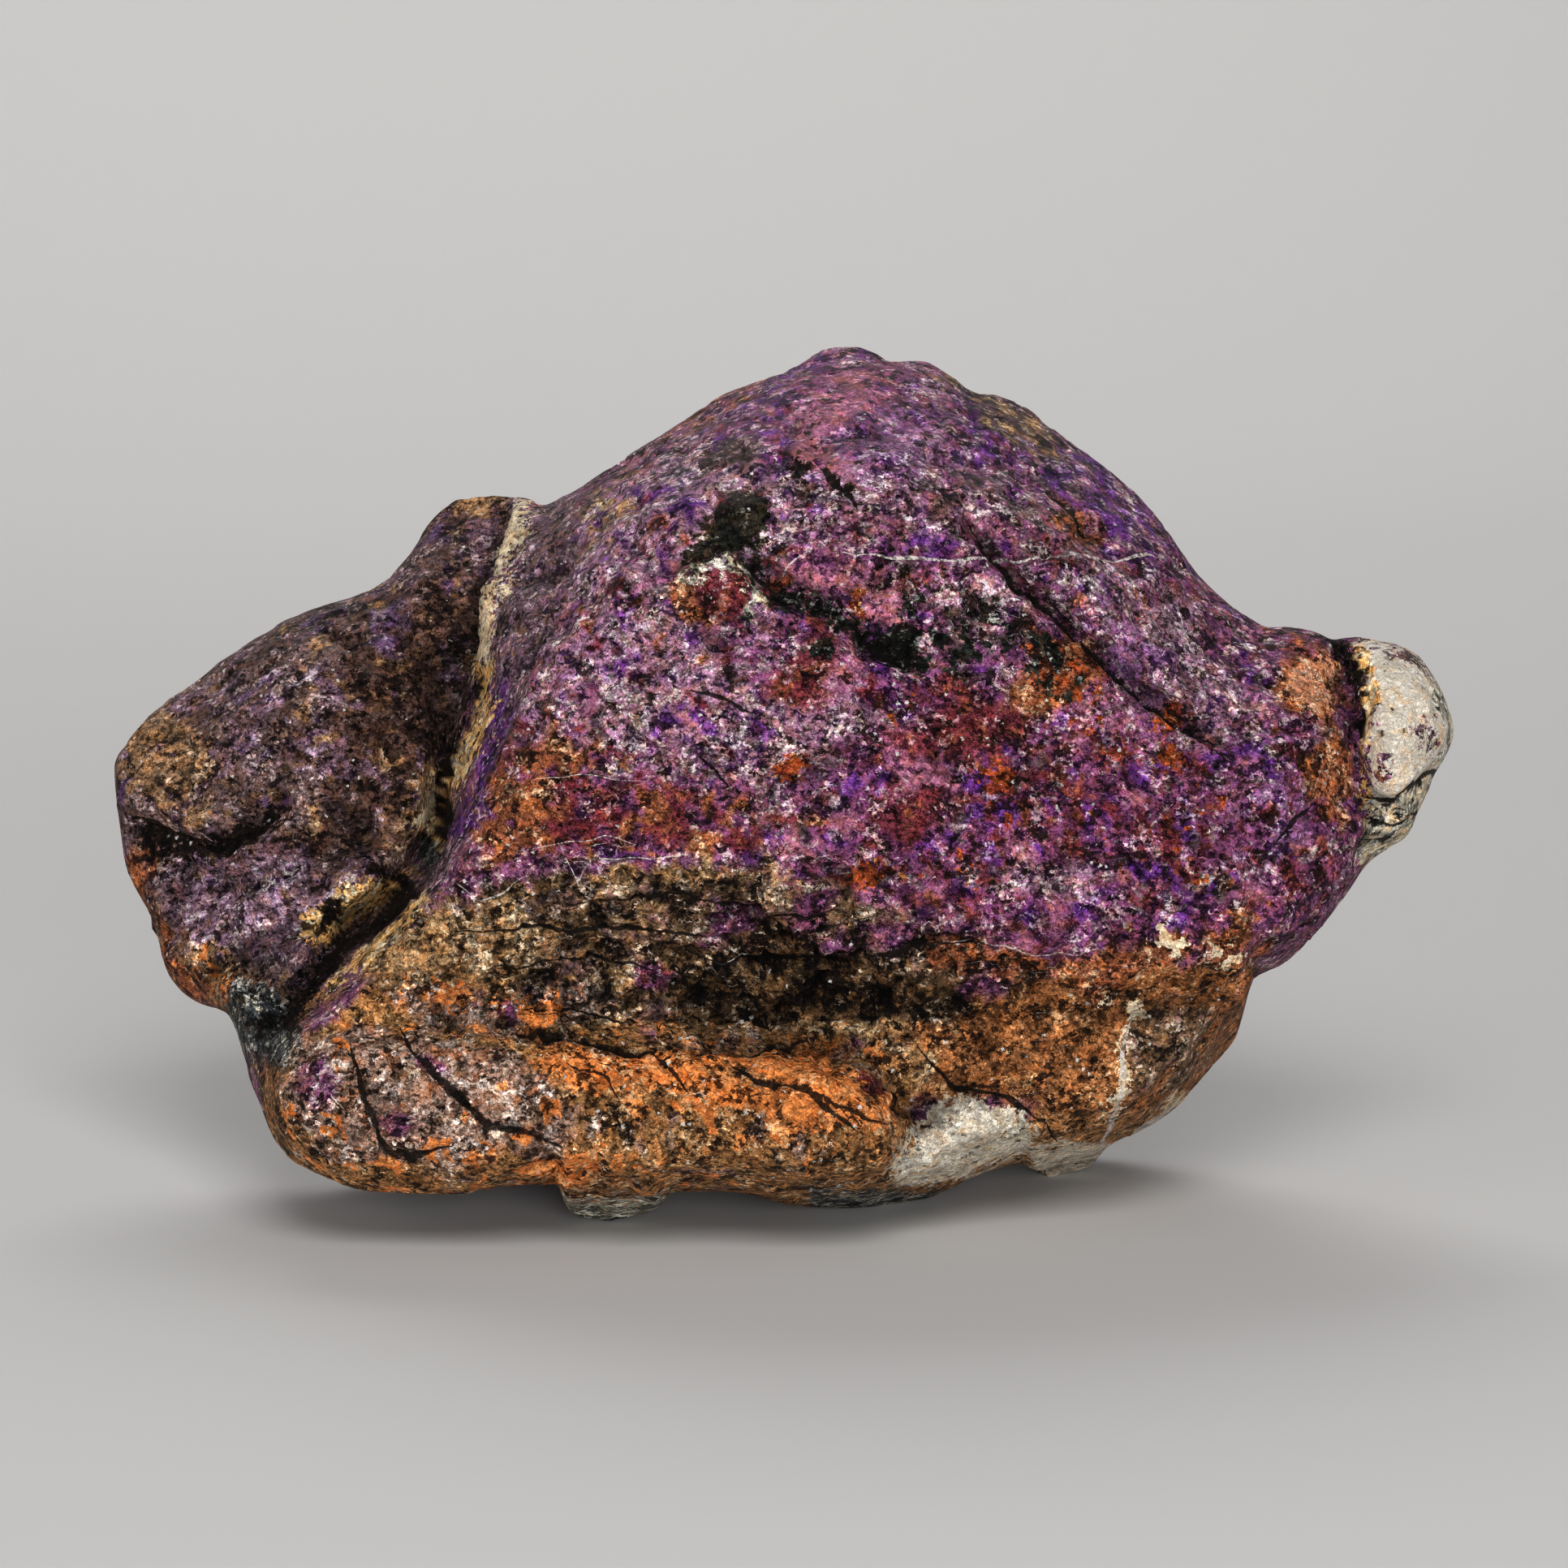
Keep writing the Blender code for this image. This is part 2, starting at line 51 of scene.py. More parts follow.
# The lump is drawn as it is seen from the front, in millimetres: x to the right, height up the view and
# depth away from the viewer. These are the same drawn forms as the plain solid's, on a finer grid.
rock = {
    "rings": 340,  # rings from the left end to the right
    "around": 290,  # places on each ring
    "frontShare": 0.62,  # how many of them are on the front
    "halfLength": 37.5,
    "knobFrom": 31.5,  # where the white knob begins
    "eyeDistance": 420.0,
    "eyeHeight": 23.8,
    "eyeTilt": math.radians(8.0),
    "shiftToCentre": (0.35, -3.22),
    "ringPower": 3.0,  # how square the rings are
    "smallestSwell": 0.12,  # shorter swells of the outline stay at the rim
    "bumpReach": 0.24,  # and this far beside it
    "thinnest": 2.0,
    "roundTop": 9.0,
    "roundBottom": 2.8,
    "topOutline": [
        (-37.5, 24.7), (-37.3, 25.4), (-36.6, 26.2), (-35.3, 27.8), (-33.2, 29.4), (-30.5, 31.4),
        (-27.1, 33.2), (-23.7, 34.5), (-22.3, 35.2), (-21.0, 36.6), (-19.6, 38.7), (-18.2, 39.7),
        (-16.6, 40.0), (-14.6, 39.8), (-13.5, 39.3), (-12.1, 39.9), (-9.4, 41.6), (-6.6, 43.5),
        (-3.9, 45.3), (0.9, 47.2), (2.2, 48.0), (3.8, 48.3), (5.0, 48.0), (5.9, 47.4), (7.7, 47.5),
        (9.0, 46.9), (10.4, 45.8), (12.7, 45.2), (15.2, 43.6), (20.0, 39.8), (23.4, 35.3),
        (25.4, 33.4), (27.0, 32.5), (29.5, 32.3), (30.7, 31.8), (31.8, 32.0), (33.6, 31.8),
        (35.2, 31.2), (36.5, 29.6), (37.3, 27.8), (37.5, 26.8),
    ],
    "topDepth": [
        (-37.5, 6), (-30, 7), (-19, 7), (-13, 5.5), (-8, 5), (4, 6.5), (12, 6.5), (22, 3), (30, -1),
        (37.5, -1),
    ],
    "bottomOutline": [
        (-37.5, 24.7), (-37.3, 22.3), (-36.6, 18.6), (-35.3, 16.1), (-34.6, 13.6), (-33.2, 11.8),
        (-31.2, 10.9), (-30.7, 10.0), (-30.3, 8.4), (-29.1, 5.4), (-28.4, 3.8), (-26.4, 2.2),
        (-23.7, 1.0), (-18.9, 0.8), (-14.8, 1.3), (-12.7, 1.4), (-12.1, -0.2), (-9.4, -0.7),
        (-7.4, -0.2), (-6.0, 1.0), (-1.9, 0.9), (0.2, 0.3), (3.6, 0.1), (7.7, 0.5), (10.4, 1.7),
        (13.3, 2.5), (14.5, 1.6), (17.2, 2.2), (18.0, 3.3), (21.3, 5.2), (24.0, 8.1), (25.5, 10.0),
        (25.9, 12.7), (28.1, 14.0), (30.9, 16.8), (32.9, 19.5), (35.0, 20.9), (35.7, 22.6),
        (36.8, 24.9), (37.5, 26.8),
    ],
    "bottomDepth": [
        (-37.5, 6), (-34, 4), (-31, -1), (-29, -8), (-25.5, -13.4), (-18, -13.6), (-14.5, -12.4),
        (-12.4, -5.2), (-9.4, -3.4), (-7.6, -4.2), (-5.6, -9.4), (-1.4, -9), (0.8, -4), (2.4, 0), (4, 1),
        (9, 1.5), (12, 2.5), (14.5, 8.5), (16, 11.5), (18, 9), (22, 6), (26, 4), (30, 1), (37.5, -1),
    ],
    "shoulder": [
        (8, -28.6), (11.3, -25.9), (14.1, -22.7), (17.7, -19.6), (20.9, -17.4), (24.5, -15.7),
        (28.2, -14.0), (31.3, -12.7), (35, -11.2), (38.6, -8.9), (42.3, -5.3), (46.3, -1.2), (50, 2),
    ],
    "crevice": [
        (6, -30.4), (9.1, -28.9), (12.7, -26.8), (17.3, -22.7), (20.4, -20.2), (26.8, -18.6),
        (33.6, -16.8), (39.5, -14.1), (42.0, -12.2), (46.0, -8.0), (50, -4.0),
    ],
    "creviceFloor": [
        (-18.0, 29.5), (-19.2, 24.4), (-20.0, 20.8), (-22.2, 17.8), (-24.6, 15.6), (-27.0, 12.9),
        (-29.4, 9.6),
    ],
    "facetFall": 14.0,
    "underEdge": [
        (-24, 16.6), (-17, 19.0), (-10, 19.6), (-4, 19.8), (2, 18.0), (8, 15.4), (14, 15.0), (20, 14.2),
        (24, 13.4), (27, 13.0), (32, 17),
    ],
    "underSlope": [
        (-24, 0.25), (-14, 0.4), (-6, 0.6), (0, 0.9), (8, 0.8), (14, 0.8), (20, 1.2), (26, 2.4), (32, 2.6),
    ],
    "lobeFold": [(-38, 23.2), (-35.4, 21.0), (-32.6, 19.9), (-30, 19.7), (-27.6, 20.8), (-25, 23)],
    "feet": [(-9.6, -4.6, 2.6), (4.4, 1.8, 3.6), (15.4, 13.0, 2.8), (-7.0, 15.5, 5.0)],
    "hollow": 1.2,  # how high the underside rises between the feet
    "below": 0.8,  # how far the feet are cut off
}
rock["frontGrooves"] = [  # path, width, depth
    ([(-13.6, 41.0), (-14.6, 38.6), (-17.0, 33.0), (-18.8, 26.8), (-20.2, 21.4)], 0.6, 1.4),
    (rock["creviceFloor"], 0.6, 4.6),
    ([(30.4, 34.0), (31.2, 31.6), (32.0, 29.0), (32.4, 26.4), (32.2, 23.0)], 0.8, 1.8),
    ([(9.0, 40.2), (10.6, 38.2), (15.2, 33.6), (19.7, 29.5), (24.7, 26.3), (26.6, 25.4)], 0.6, 1.3),
    ([(-4.6, 38.8), (-1.6, 35.9), (1.5, 34.1), (4.3, 31.8), (7.5, 30.9), (10.8, 32.4)], 0.8, 1.1),
    ([(-16.0, 12.2), (-12.4, 11.0), (-9.0, 9.9), (-3.0, 10.1), (1.6, 9.4), (4.6, 7.4), (6.6, 4.6)], 0.7, 1.0),
    ([(12.6, 1.4), (13.6, 3.6), (14.0, 6.4)], 0.6, 1.2),
]
rock["backGrooves"] = [
    ([(-13.6, 39.6), (-15.4, 30.0), (-18.6, 18.0), (-21.0, 6.0)], 1.5, 2.6),
    ([(31.0, 32.6), (30.2, 26.0), (31.0, 18.0)], 1.0, 1.6),
    ([(-12.0, 26.0), (-2.0, 23.0), (9.0, 25.5), (17.0, 22.0)], 1.4, 1.6),
]


# a smooth curve through (x, value) points: cubic pieces whose slopes are harmonic means, level at peaks
def smoothCurve(points, x):
    known, value = np.array(points, float).T
    step = np.diff(known)
    rise = np.diff(value) / step
    slope = np.zeros(len(known))
    sameWay = rise[:-1] * rise[1:] > 0
    harmonic = 2 * rise[:-1] * rise[1:] / np.where(sameWay, rise[:-1] + rise[1:], 1)
    slope[1:-1] = np.where(sameWay, harmonic, 0)
    slope[0], slope[-1] = rise[0], rise[-1]
    at = np.clip(np.searchsorted(known, x) - 1, 0, len(step) - 1)
    t = np.clip((x - known[at]) / step[at], 0, 1)
    fromStart = (1 + 2 * t) * (1 - t) ** 2 * value[at] + t * (1 - t) ** 2 * step[at] * slope[at]
    fromEnd = t * t * (3 - 2 * t) * value[at + 1] - t * t * (1 - t) * step[at] * slope[at + 1]
    return fromStart + fromEnd


# the same read by the angle whose cosine is -x over half the length, so that both ends close round
def endCurve(points, along):
    turned = [(math.acos(max(-1.0, min(1.0, -x / rock["halfLength"]))), value) for x, value in points]
    return smoothCurve(turned, along)


# the mean of five places to either side
def broadCurve(points, along):
    steps = rock["smallestSwell"] * np.linspace(-1, 1, 5)
    return sum(endCurve(points, along + step * np.sin(along)) for step in steps) / len(steps)


# three times the square less twice the cube, level at 0 and 1
def eased(t):
    t = np.clip(t, 0, 1)
    return t * t * (3 - 2 * t)


# the lesser of two depths, with a rounded crease
def nearerOf(a, b, blend):
    mixed = np.clip(0.5 + 0.5 * (b - a) / blend, 0, 1)
    return b + (a - b) * mixed - blend * mixed * (1 - mixed)


# the greater of two depths, likewise rounded
def furtherOf(a, b, blend):
    return -nearerOf(-a, -b, blend)


# distance past a line: half of the distance plus its rounded size
def beyond(distance, rounding):
    return 0.5 * (distance + np.sqrt(distance * distance + rounding * rounding))


# slope times the distance to the left of a line, so a face bends back along it
def fold(x, v, start, end, slope, rounding):
    run = np.subtract(end, start)
    run = run / np.hypot(*run)
    return slope * beyond((v - start[1]) * run[0] - (x - start[0]) * run[1], rounding)


# front plus fall times a power of the distance from the centre, in turned radii
def lump(x, v, centre, radii, front, fall, power=2.0, turn=0.0):
    c, s = math.cos(turn), math.sin(turn)
    across, up = x - centre[0], v - centre[1]
    out = np.hypot((across * c + up * s) / radii[0], (up * c - across * s) / radii[1])
    return front + fall * out**power


# distance to a path of straight runs, which side of it, and how far along from 0 to 1
def toPath(x, v, path):
    corners = np.array(path, float)
    lengths = np.hypot(*np.diff(corners, axis=0).T)
    best, side, where = np.full(np.shape(x), 1e9), np.ones(np.shape(x)), np.zeros(np.shape(x))
    for i, (a, b) in enumerate(zip(corners[:-1], corners[1:])):
        t = ((x - a[0]) * (b[0] - a[0]) + (v - a[1]) * (b[1] - a[1])) / lengths[i] ** 2
        t = np.clip(t, 0, 1)
        far = np.hypot(x - a[0] - t * (b[0] - a[0]), v - a[1] - t * (b[1] - a[1]))
        nearer = far < best
        cross = (b[0] - a[0]) * (v - a[1]) - (b[1] - a[1]) * (x - a[0])
        best = np.where(nearer, far, best)
        side = np.where(nearer, np.where(cross < 0, -1.0, 1.0), side)
        where = np.where(nearer, (lengths[:i].sum() + t * lengths[i]) / lengths.sum(), where)
    return best, side, where


# depth times a bell of the distance to a path, closing at its ends
def groove(x, v, path, width, depth):
    distance, _, along = toPath(x, v, path)
    return depth * eased(np.minimum(along, 1 - along) * 4) * np.exp(-((distance / width) ** 2))


# gradient noise: slopes at the corners of a lattice, eased together, with hills that size across
def noise(points, size, seed):
    random = np.random.default_rng(seed)
    order = random.permutation(256)
    ways = random.normal(size=(256, 3))
    ways /= np.linalg.norm(ways, axis=1)[:, None]
    place = points / size
    cell = np.floor(place).astype(int)
    inside = place - cell
    ease = inside**3 * (inside * (inside * 6 - 15) + 10)
    total = np.zeros(points.shape[:-1])
    for corner in itertools.product((0, 1), repeat=3):
        at = cell + corner
        mixed = order[(order[(order[at[..., 0] % 256] + at[..., 1]) % 256] + at[..., 2]) % 256]
        share = np.prod(np.where(corner, ease, 1 - ease), axis=-1)
        total += share * np.sum(ways[mixed] * (inside - corner), axis=-1)
    return total


# noise of several sizes, each times its own height, added up
def hills(places, layers):
    return sum(rise * noise(places, size, seed) for size, rise, seed in layers)


# a leaning plane, bent back past the shoulder, over the crown, down the right slope and at the right end,
# with three bell-shaped swells, and bent back below its under edge
def mainBody(x, v):
    shoulder = smoothCurve(rock["shoulder"], v)
    crevice = smoothCurve(rock["crevice"], v)
    depth = -15.2 + 0.10 * (v - 20) + 0.06 * (x - 4)
    depth = depth + rock["facetFall"] * beyond((shoulder - x) / (shoulder - crevice), 0.35)
    depth = depth + fold(x, v, (-9.0, 38.0), (16.0, 41.0), 0.5, 2.5)
    depth = depth + fold(x, v, (10.6, 38.2), (24.7, 26.3), 0.6, 0.8)
    depth = depth + fold(x, v, (27.5, 36.0), (28.0, 14.0), 0.9, 1.6)
    depth = depth - 0.9 * np.exp(-(((x - 0.5) / 8) ** 2) - ((v - 28.5) / 3.4) ** 2)
    depth = depth - 0.6 * np.exp(-(((x + 4.0) / 2.1) ** 4) - ((v - 34.2) / 1.7) ** 4)
    depth = depth + 0.8 * np.exp(-(((x - 12.0) / 4) ** 2) - ((v - 32.5) / 2.2) ** 2)
    edge = smoothCurve(rock["underEdge"], x)
    return depth + smoothCurve(rock["underSlope"], x) * beyond(edge - v, 1.0)


# three lumps blended, a step back under the fold line, two crumbs and a stub in front
def leftLobe(x, v):
    upper = lump(x, v, (-20.5, 34.0), (7.0, 6.5), 0.4, 4.5, 2.0, 0.7)
    middle = lump(x, v, (-28.4, 26.0), (10.5, 8.4), -3.0, 5.0, 2.2, 0.55)
    lower = lump(x, v, (-27.5, 16.0), (9.5, 7.4), -3.0, 4.0, 2.4, 0.35)
    lobe = nearerOf(nearerOf(upper, middle, 2.0), lower, 3.0)
    under = np.maximum(smoothCurve(rock["lobeFold"], x) - v, 0)
    step = (1 - np.exp(-((under / 0.8) ** 2))) * np.exp(-under / 3.5)
    lobe = lobe + 3.2 * (1 - eased((x + 33.5) / 8)) * step
    crumb = lump(x, v, (-21.4, 22.4), (1.7, 3.0), -2.6, 1.5, 2.0, -0.3)
    secondCrumb = lump(x, v, (-24.2, 17.8), (2.8, 1.5), -4.4, 1.5, 2.0, 0.7)
    stub = lump(x, v, (-29.2, 9.6), (2.6, 3.0), -8.0, 3.0, 2.0, 0.5)
    return nearerOf(nearerOf(lobe, nearerOf(crumb, secondCrumb, 0.8), 1.0), stub, 0.6)


# a steep power of the distance to the ledge's middle line, less steep underneath, and a flat tongue over it
def frontLedge(x, v):
    distance, _, along = toPath(x, v, [(-23.4, 6.2), (-14.0, 5.6), (1.6, 4.6)])
    above = eased((v - 4.5) / 3)
    fall = 4.2 * (distance / (5.2 - 0.9 * along)) ** 3.6
    nose = -17.6 + fall * (0.45 + 0.55 * above)
    tongue = lump(x, v, (-16.5, 10.6), (8.0, 3.2), -15.2, 3.0, 2.4, -0.12)
    return nearerOf(nose, tongue, 1.2)


# three lumps blended: the brown form, the one under the waist, and the white spall
def lowerRightLobe(x, v):
    lobe = lump(x, v, (15.5, 9.0), (11.5, 8.0), -12.2, 5.0, 2.8, 0.1)
    middle = lump(x, v, (7.0, 9.0), (6.0, 6.5), -12.6, 3.0, 2.2)
    spall = lump(x, v, (9.8, 3.0), (4.6, 3.0), -12.6, 2.0, 4.0, 0.25)
    return nearerOf(nearerOf(lobe, middle, 1.5), spall, 0.9)


# the white block and the layer under it
def whiteKnob(x, v):
    block = lump(x, v, (35.2, 27.2), (3.2, 5.6), -10.2, 2.6, 3.4, 0.12)
    layer = lump(x, v, (34.2, 22.0), (2.8, 4.0), -8.0, 3.0, 3.0, 0.3)
    return nearerOf(block, layer, 0.4)


# the nearest of all the front forms, with the furrows cut in
def frontDepth(x, v):
    crown = lump(x, v, (3.4, 45.6), (3.4, 2.4), -8.0, 2.0)
    crown = nearerOf(crown, lump(x, v, (12.4, 43.0), (3.6, 2.2), -5.0, 2.0, 2.0, -0.6), 2.0)
    depth = nearerOf(nearerOf(mainBody(x, v), crown, 2.5), leftLobe(x, v), 0.8)
    depth = nearerOf(depth, frontLedge(x, v), 1.0)
    depth = nearerOf(depth, lowerRightLobe(x, v), 0.8)
    depth = nearerOf(depth, whiteKnob(x, v), 0.4)
    return depth + sum(groove(x, v, *furrow) for furrow in rock["frontGrooves"])


# broken planes that meet in dull ridges, two lumps and the furrows
def backDepth(x, v):
    depth = 20.0 - 0.10 * np.abs(x - 4.0)
    depth = depth - fold(x, v, (-12.0, 31.0), (24.0, 27.0), 0.42, 2.0)
    depth = depth - fold(x, v, (-14.0, 2.0), (-9.0, 42.0), 0.5, 2.0)
    depth = depth - fold(x, v, (17.0, 44.0), (20.0, 0.0), 0.75, 2.0)
    depth = depth - fold(x, v, (26.0, 12.0), (-30.0, 9.0), 0.3, 2.0)
    lobe = -lump(x, v, (-26.0, 21.0), (13.0, 14.0), -17.0, 6.0)
    boss = -lump(x, v, (13.0, 14.0), (10.0, 8.0), -21.0, 5.0, 2.0, 0.3)
    depth = furtherOf(furtherOf(depth, lobe, 1.5), boss, 1.0)
    return depth - sum(groove(x, v, *furrow) for furrow in rock["backGrooves"])


# the lowest that the underside goes: below the cut at the feet, rising between them
def groundHeight(x, y):
    clear = np.min([np.hypot(x - fx, y - fy) / radius for fx, fy, radius in rock["feet"]], axis=0)
    lumps = noise(np.stack([x, y, 0 * x], axis=-1), 4.5, 9)
    return -rock["below"] + (rock["hollow"] + rock["below"] + 1.2 * lumps) * eased((clear - 0.8) / 1.2)


# the cross product of the two directions of the grid
def outward(places):
    ringwise = np.gradient(places, axis=0)
    roundIt = np.roll(places, -1, axis=1) - np.roll(places, 1, axis=1)
    normal = np.cross(ringwise, roundIt)
    return normal / np.maximum(np.linalg.norm(normal, axis=-1, keepdims=True), 1e-9)


# the height of a quarter circle at that clearance
def roundedEdge(clear, radius):
    short = 1 - np.clip(clear / radius, 0, 1)
    return np.sqrt(1 - short * short)


# each place goes half way to the mean of its four neighbours
def smoothed(places):
    across = (places[:-2, :] + places[2:, :]) / 2
    around = (np.roll(places, 1, axis=1) + np.roll(places, -1, axis=1))[1:-1] / 2
    inner = places[1:-1] / 2 + (across + around) / 4
    return np.concatenate([places[:1], inner, places[-1:]])


# places spread so that the given cost between them is even
def evenly(values, cost, count, closed):
    total = np.concatenate([[0], np.cumsum((cost[1:] + cost[:-1]) / 2)])
    wanted = np.linspace(0, total[-1], count, endpoint=not closed)
    return np.interp(wanted, total, values)


# how far up the ring a place at that turn is: the cosine over the ring's power mean
def ringHeight(turn):
    c, s = np.cos(turn), np.sin(turn)
    power = rock["ringPower"]
    return c * (np.abs(c) ** power + np.abs(s) ** power) ** (-1 / power)


# rings from end to end: height runs between the outlines and depth from the rim out to the drawn
# front or back, rounded near the outline
def drawnSurface(rings, around):
    fine = np.linspace(0, math.pi, 4001)
    along = evenly(fine, np.maximum(np.sin(fine), 0.3), rings, False)[:, None] + np.zeros(around)
    inFront = int(around * rock["frontShare"])
    cost = np.abs(np.gradient(ringHeight(fine), fine)) + 0.25
    frontTurns, backTurns = (evenly(fine, cost, count, True) for count in (inFront, around - inFront))
    turn = np.concatenate([frontTurns, math.pi + backTurns]) + np.zeros((rings, 1))
    x = -rock["halfLength"] * np.cos(along)
    top, bottom = endCurve(rock["topOutline"], along), endCurve(rock["bottomOutline"], along)
    up, s = ringHeight(turn), np.sin(turn)
    calmTop = np.minimum(broadCurve(rock["topOutline"], along), top)
    calmBottom = np.maximum(broadCurve(rock["bottomOutline"], along), bottom)
    atRim = np.exp(-((s / rock["bumpReach"]) ** 2))
    top = calmTop + (top - calmTop) * atRim
    bottom = calmBottom + (bottom - calmBottom) * atRim
    half = np.maximum((top - bottom) / 2, 0.01)
    v = (top + bottom) / 2 + half * up
    out = roundedEdge(top - v, np.minimum(rock["roundTop"], half))
    out = out * roundedEdge(v - bottom, np.minimum(rock["roundBottom"], half)) * np.sin(along) ** 0.4
    share = eased((v - bottom) / (2 * half))
    rim = smoothCurve(rock["bottomDepth"], x) * (1 - share) + smoothCurve(rock["topDepth"], x) * share
    behind = backDepth(x, v)
    ahead = np.minimum(frontDepth(x, v), behind - rock["thinnest"])
    depth = rim + (np.where(s > 0, ahead, behind) - rim) * out
    return smoothed(np.stack([x, v, depth], axis=-1)), s, up


# drawn places carried out along the lines of sight into the upright frame, and down to the ground
def upright(places):
    x, v, depth = np.moveaxis(places, -1, 0)
    tilt, eye = rock["eyeTilt"], rock["eyeHeight"]
    spread = 1 + depth / rock["eyeDistance"]
    x, v = x * spread, eye + (v - eye) * spread
    y = v * math.sin(tilt) + depth * math.cos(tilt)
    z = v * math.cos(tilt) - depth * math.sin(tilt)
    z = np.maximum(np.maximum(z, groundHeight(x, y)), 0)
    return np.stack([x + rock["shiftToCentre"][0], y + rock["shiftToCentre"][1], z], axis=-1)


# Lines and a shape that more than one of the tables below uses
longCrack = [(10.5, 38.6), (11.8, 36.3), (14.7, 33.8), (17.2, 31.3), (19.7, 29.1), (22, 27.5), (24.8, 26.1)]
waistCrack = [(-5.3, 14.2), (-1.2, 14), (6.1, 14.3), (11.1, 15)]
knobCrack = [(32.5, 23.2), (33.9, 22.7), (35.5, 23.6), (36.9, 24.7)]
whiteVein = [(19.8, 11.1), (19, 9.1), (18.9, 6.8), (18.1, 4.5), (17.5, 2.2)]
knobFoot = [(32.7, 22.9), (33.9, 22.6), (35.5, 23.5), (36.8, 24.6), (37, 22.3), (34.3, 19.4), (32.5, 19.4)]

# Fine relief, in millimetres: what the light catches from close by. Noise is hill size, height and seed
relief = {
    "lumps": [(9.0, 0.7, 3), (4.2, 0.45, 5), (2.2, 0.16, 6)],  # as on the plain solid
    "behind": [(8.0, 1.4, 8)],
    "behindFrom": (4.0, 6.0),  # depth where the back's lumps begin, and over how much they grow
    "grain": [(1.3, 0.16, 21), (0.7, 0.11, 22), (0.45, 0.08, 23)],  # finer, all over
    "strata": (1.3, 0.8, 31),  # level layers in the brown waist
    "strataSquash": (0.28, 1.3, 0.6),  # across, up and back
    "waist": ((-2.0, 15.0), (19.0, 4.5)),  # the waist's middle and reach
    "steps": (3.6, 0.16, 41),  # broken cleavage steps on the purple face
    "breaks": [(4.6, 0.55, 61), (1.9, 0.3, 62)],  # small broken planes, each leaning its own way
    "hollows": (1.25, 0.34, 63),  # little pits
    "hollowsAbove": (0.2, 0.18),  # the noise that they need, and over how much they deepen
    "knobPits": [(1.7, 0.34, 64), (0.8, 0.16, 65)],  # the knob's rough skin
    "folds": [  # path, half width and depth; a rib stands out
        ([(-36.4, 21.4), (-35, 20.7), (-33.5, 20.2), (-31.7, 20.4), (-29.9, 21.4), (-28.2, 22.7)],
            0.65, 1.15),
        ([(-19.4, 22.7), (-19.4, 20), (-21, 17.8), (-22.2, 16.5), (-23.5, 15.6), (-26.2, 13.1),
            (-27.1, 12.2)], 0.4, 1.0),
        ([(-14.8, 10.1), (-12.1, 9.8), (-8.9, 9), (-6.2, 9.2), (-2.1, 9.2), (2, 9.6)], 0.35, 0.5),
        (longCrack, 0.45, 0.32),
        ([(-1.6, 35.9), (-0.6, 34.8), (1.5, 34), (3.6, 32.7), (5.2, 31.3), (7.5, 30.7)], 0.5, 0.16),
        (waistCrack, 0.45, 0.3),
        ([(-4.8, 12), (0.6, 11.3), (6.1, 11.1), (11.5, 11.7)], 0.5, 0.3),
        (knobCrack, 0.4, 0.5),
        ([(-14.5, 39.9), (-14.8, 37.9), (-15.5, 36.4), (-15.9, 34.8), (-16.4, 33.2), (-16.8, 31.6),
            (-17.1, 30.7)], 0.42, -0.55),
    ],
    "wall": (0.5, 0.25),  # how little a place may face the viewer before it counts as a steep wall
    "crackDepth": 0.28,
    "threadRise": 0.05,  # how far the white threads stand out
    "strayed": [(1.6, 0.35, 71), (1.6, 0.35, 72), (1.2, 0.9, 73)],  # cracks, in x, in height and in width
    "pits": [  # dark pits in the knob: centre and radius
        ((33.4, 26.6), 0.23), ((34.2, 28.1), 0.18), ((34.8, 26.8), 0.18), ((33.9, 25.4), 0.14),
        ((35.4, 28.3), 0.18),
    ],
    "pitDepth": 0.35,
    "raggedness": [(2.4, 1.1, 51), (1.0, 0.7, 52), (0.5, 0.5, 53)],  # of the paints' edges
    "hollowReach": (3, 9),  # in steps of the grid
}

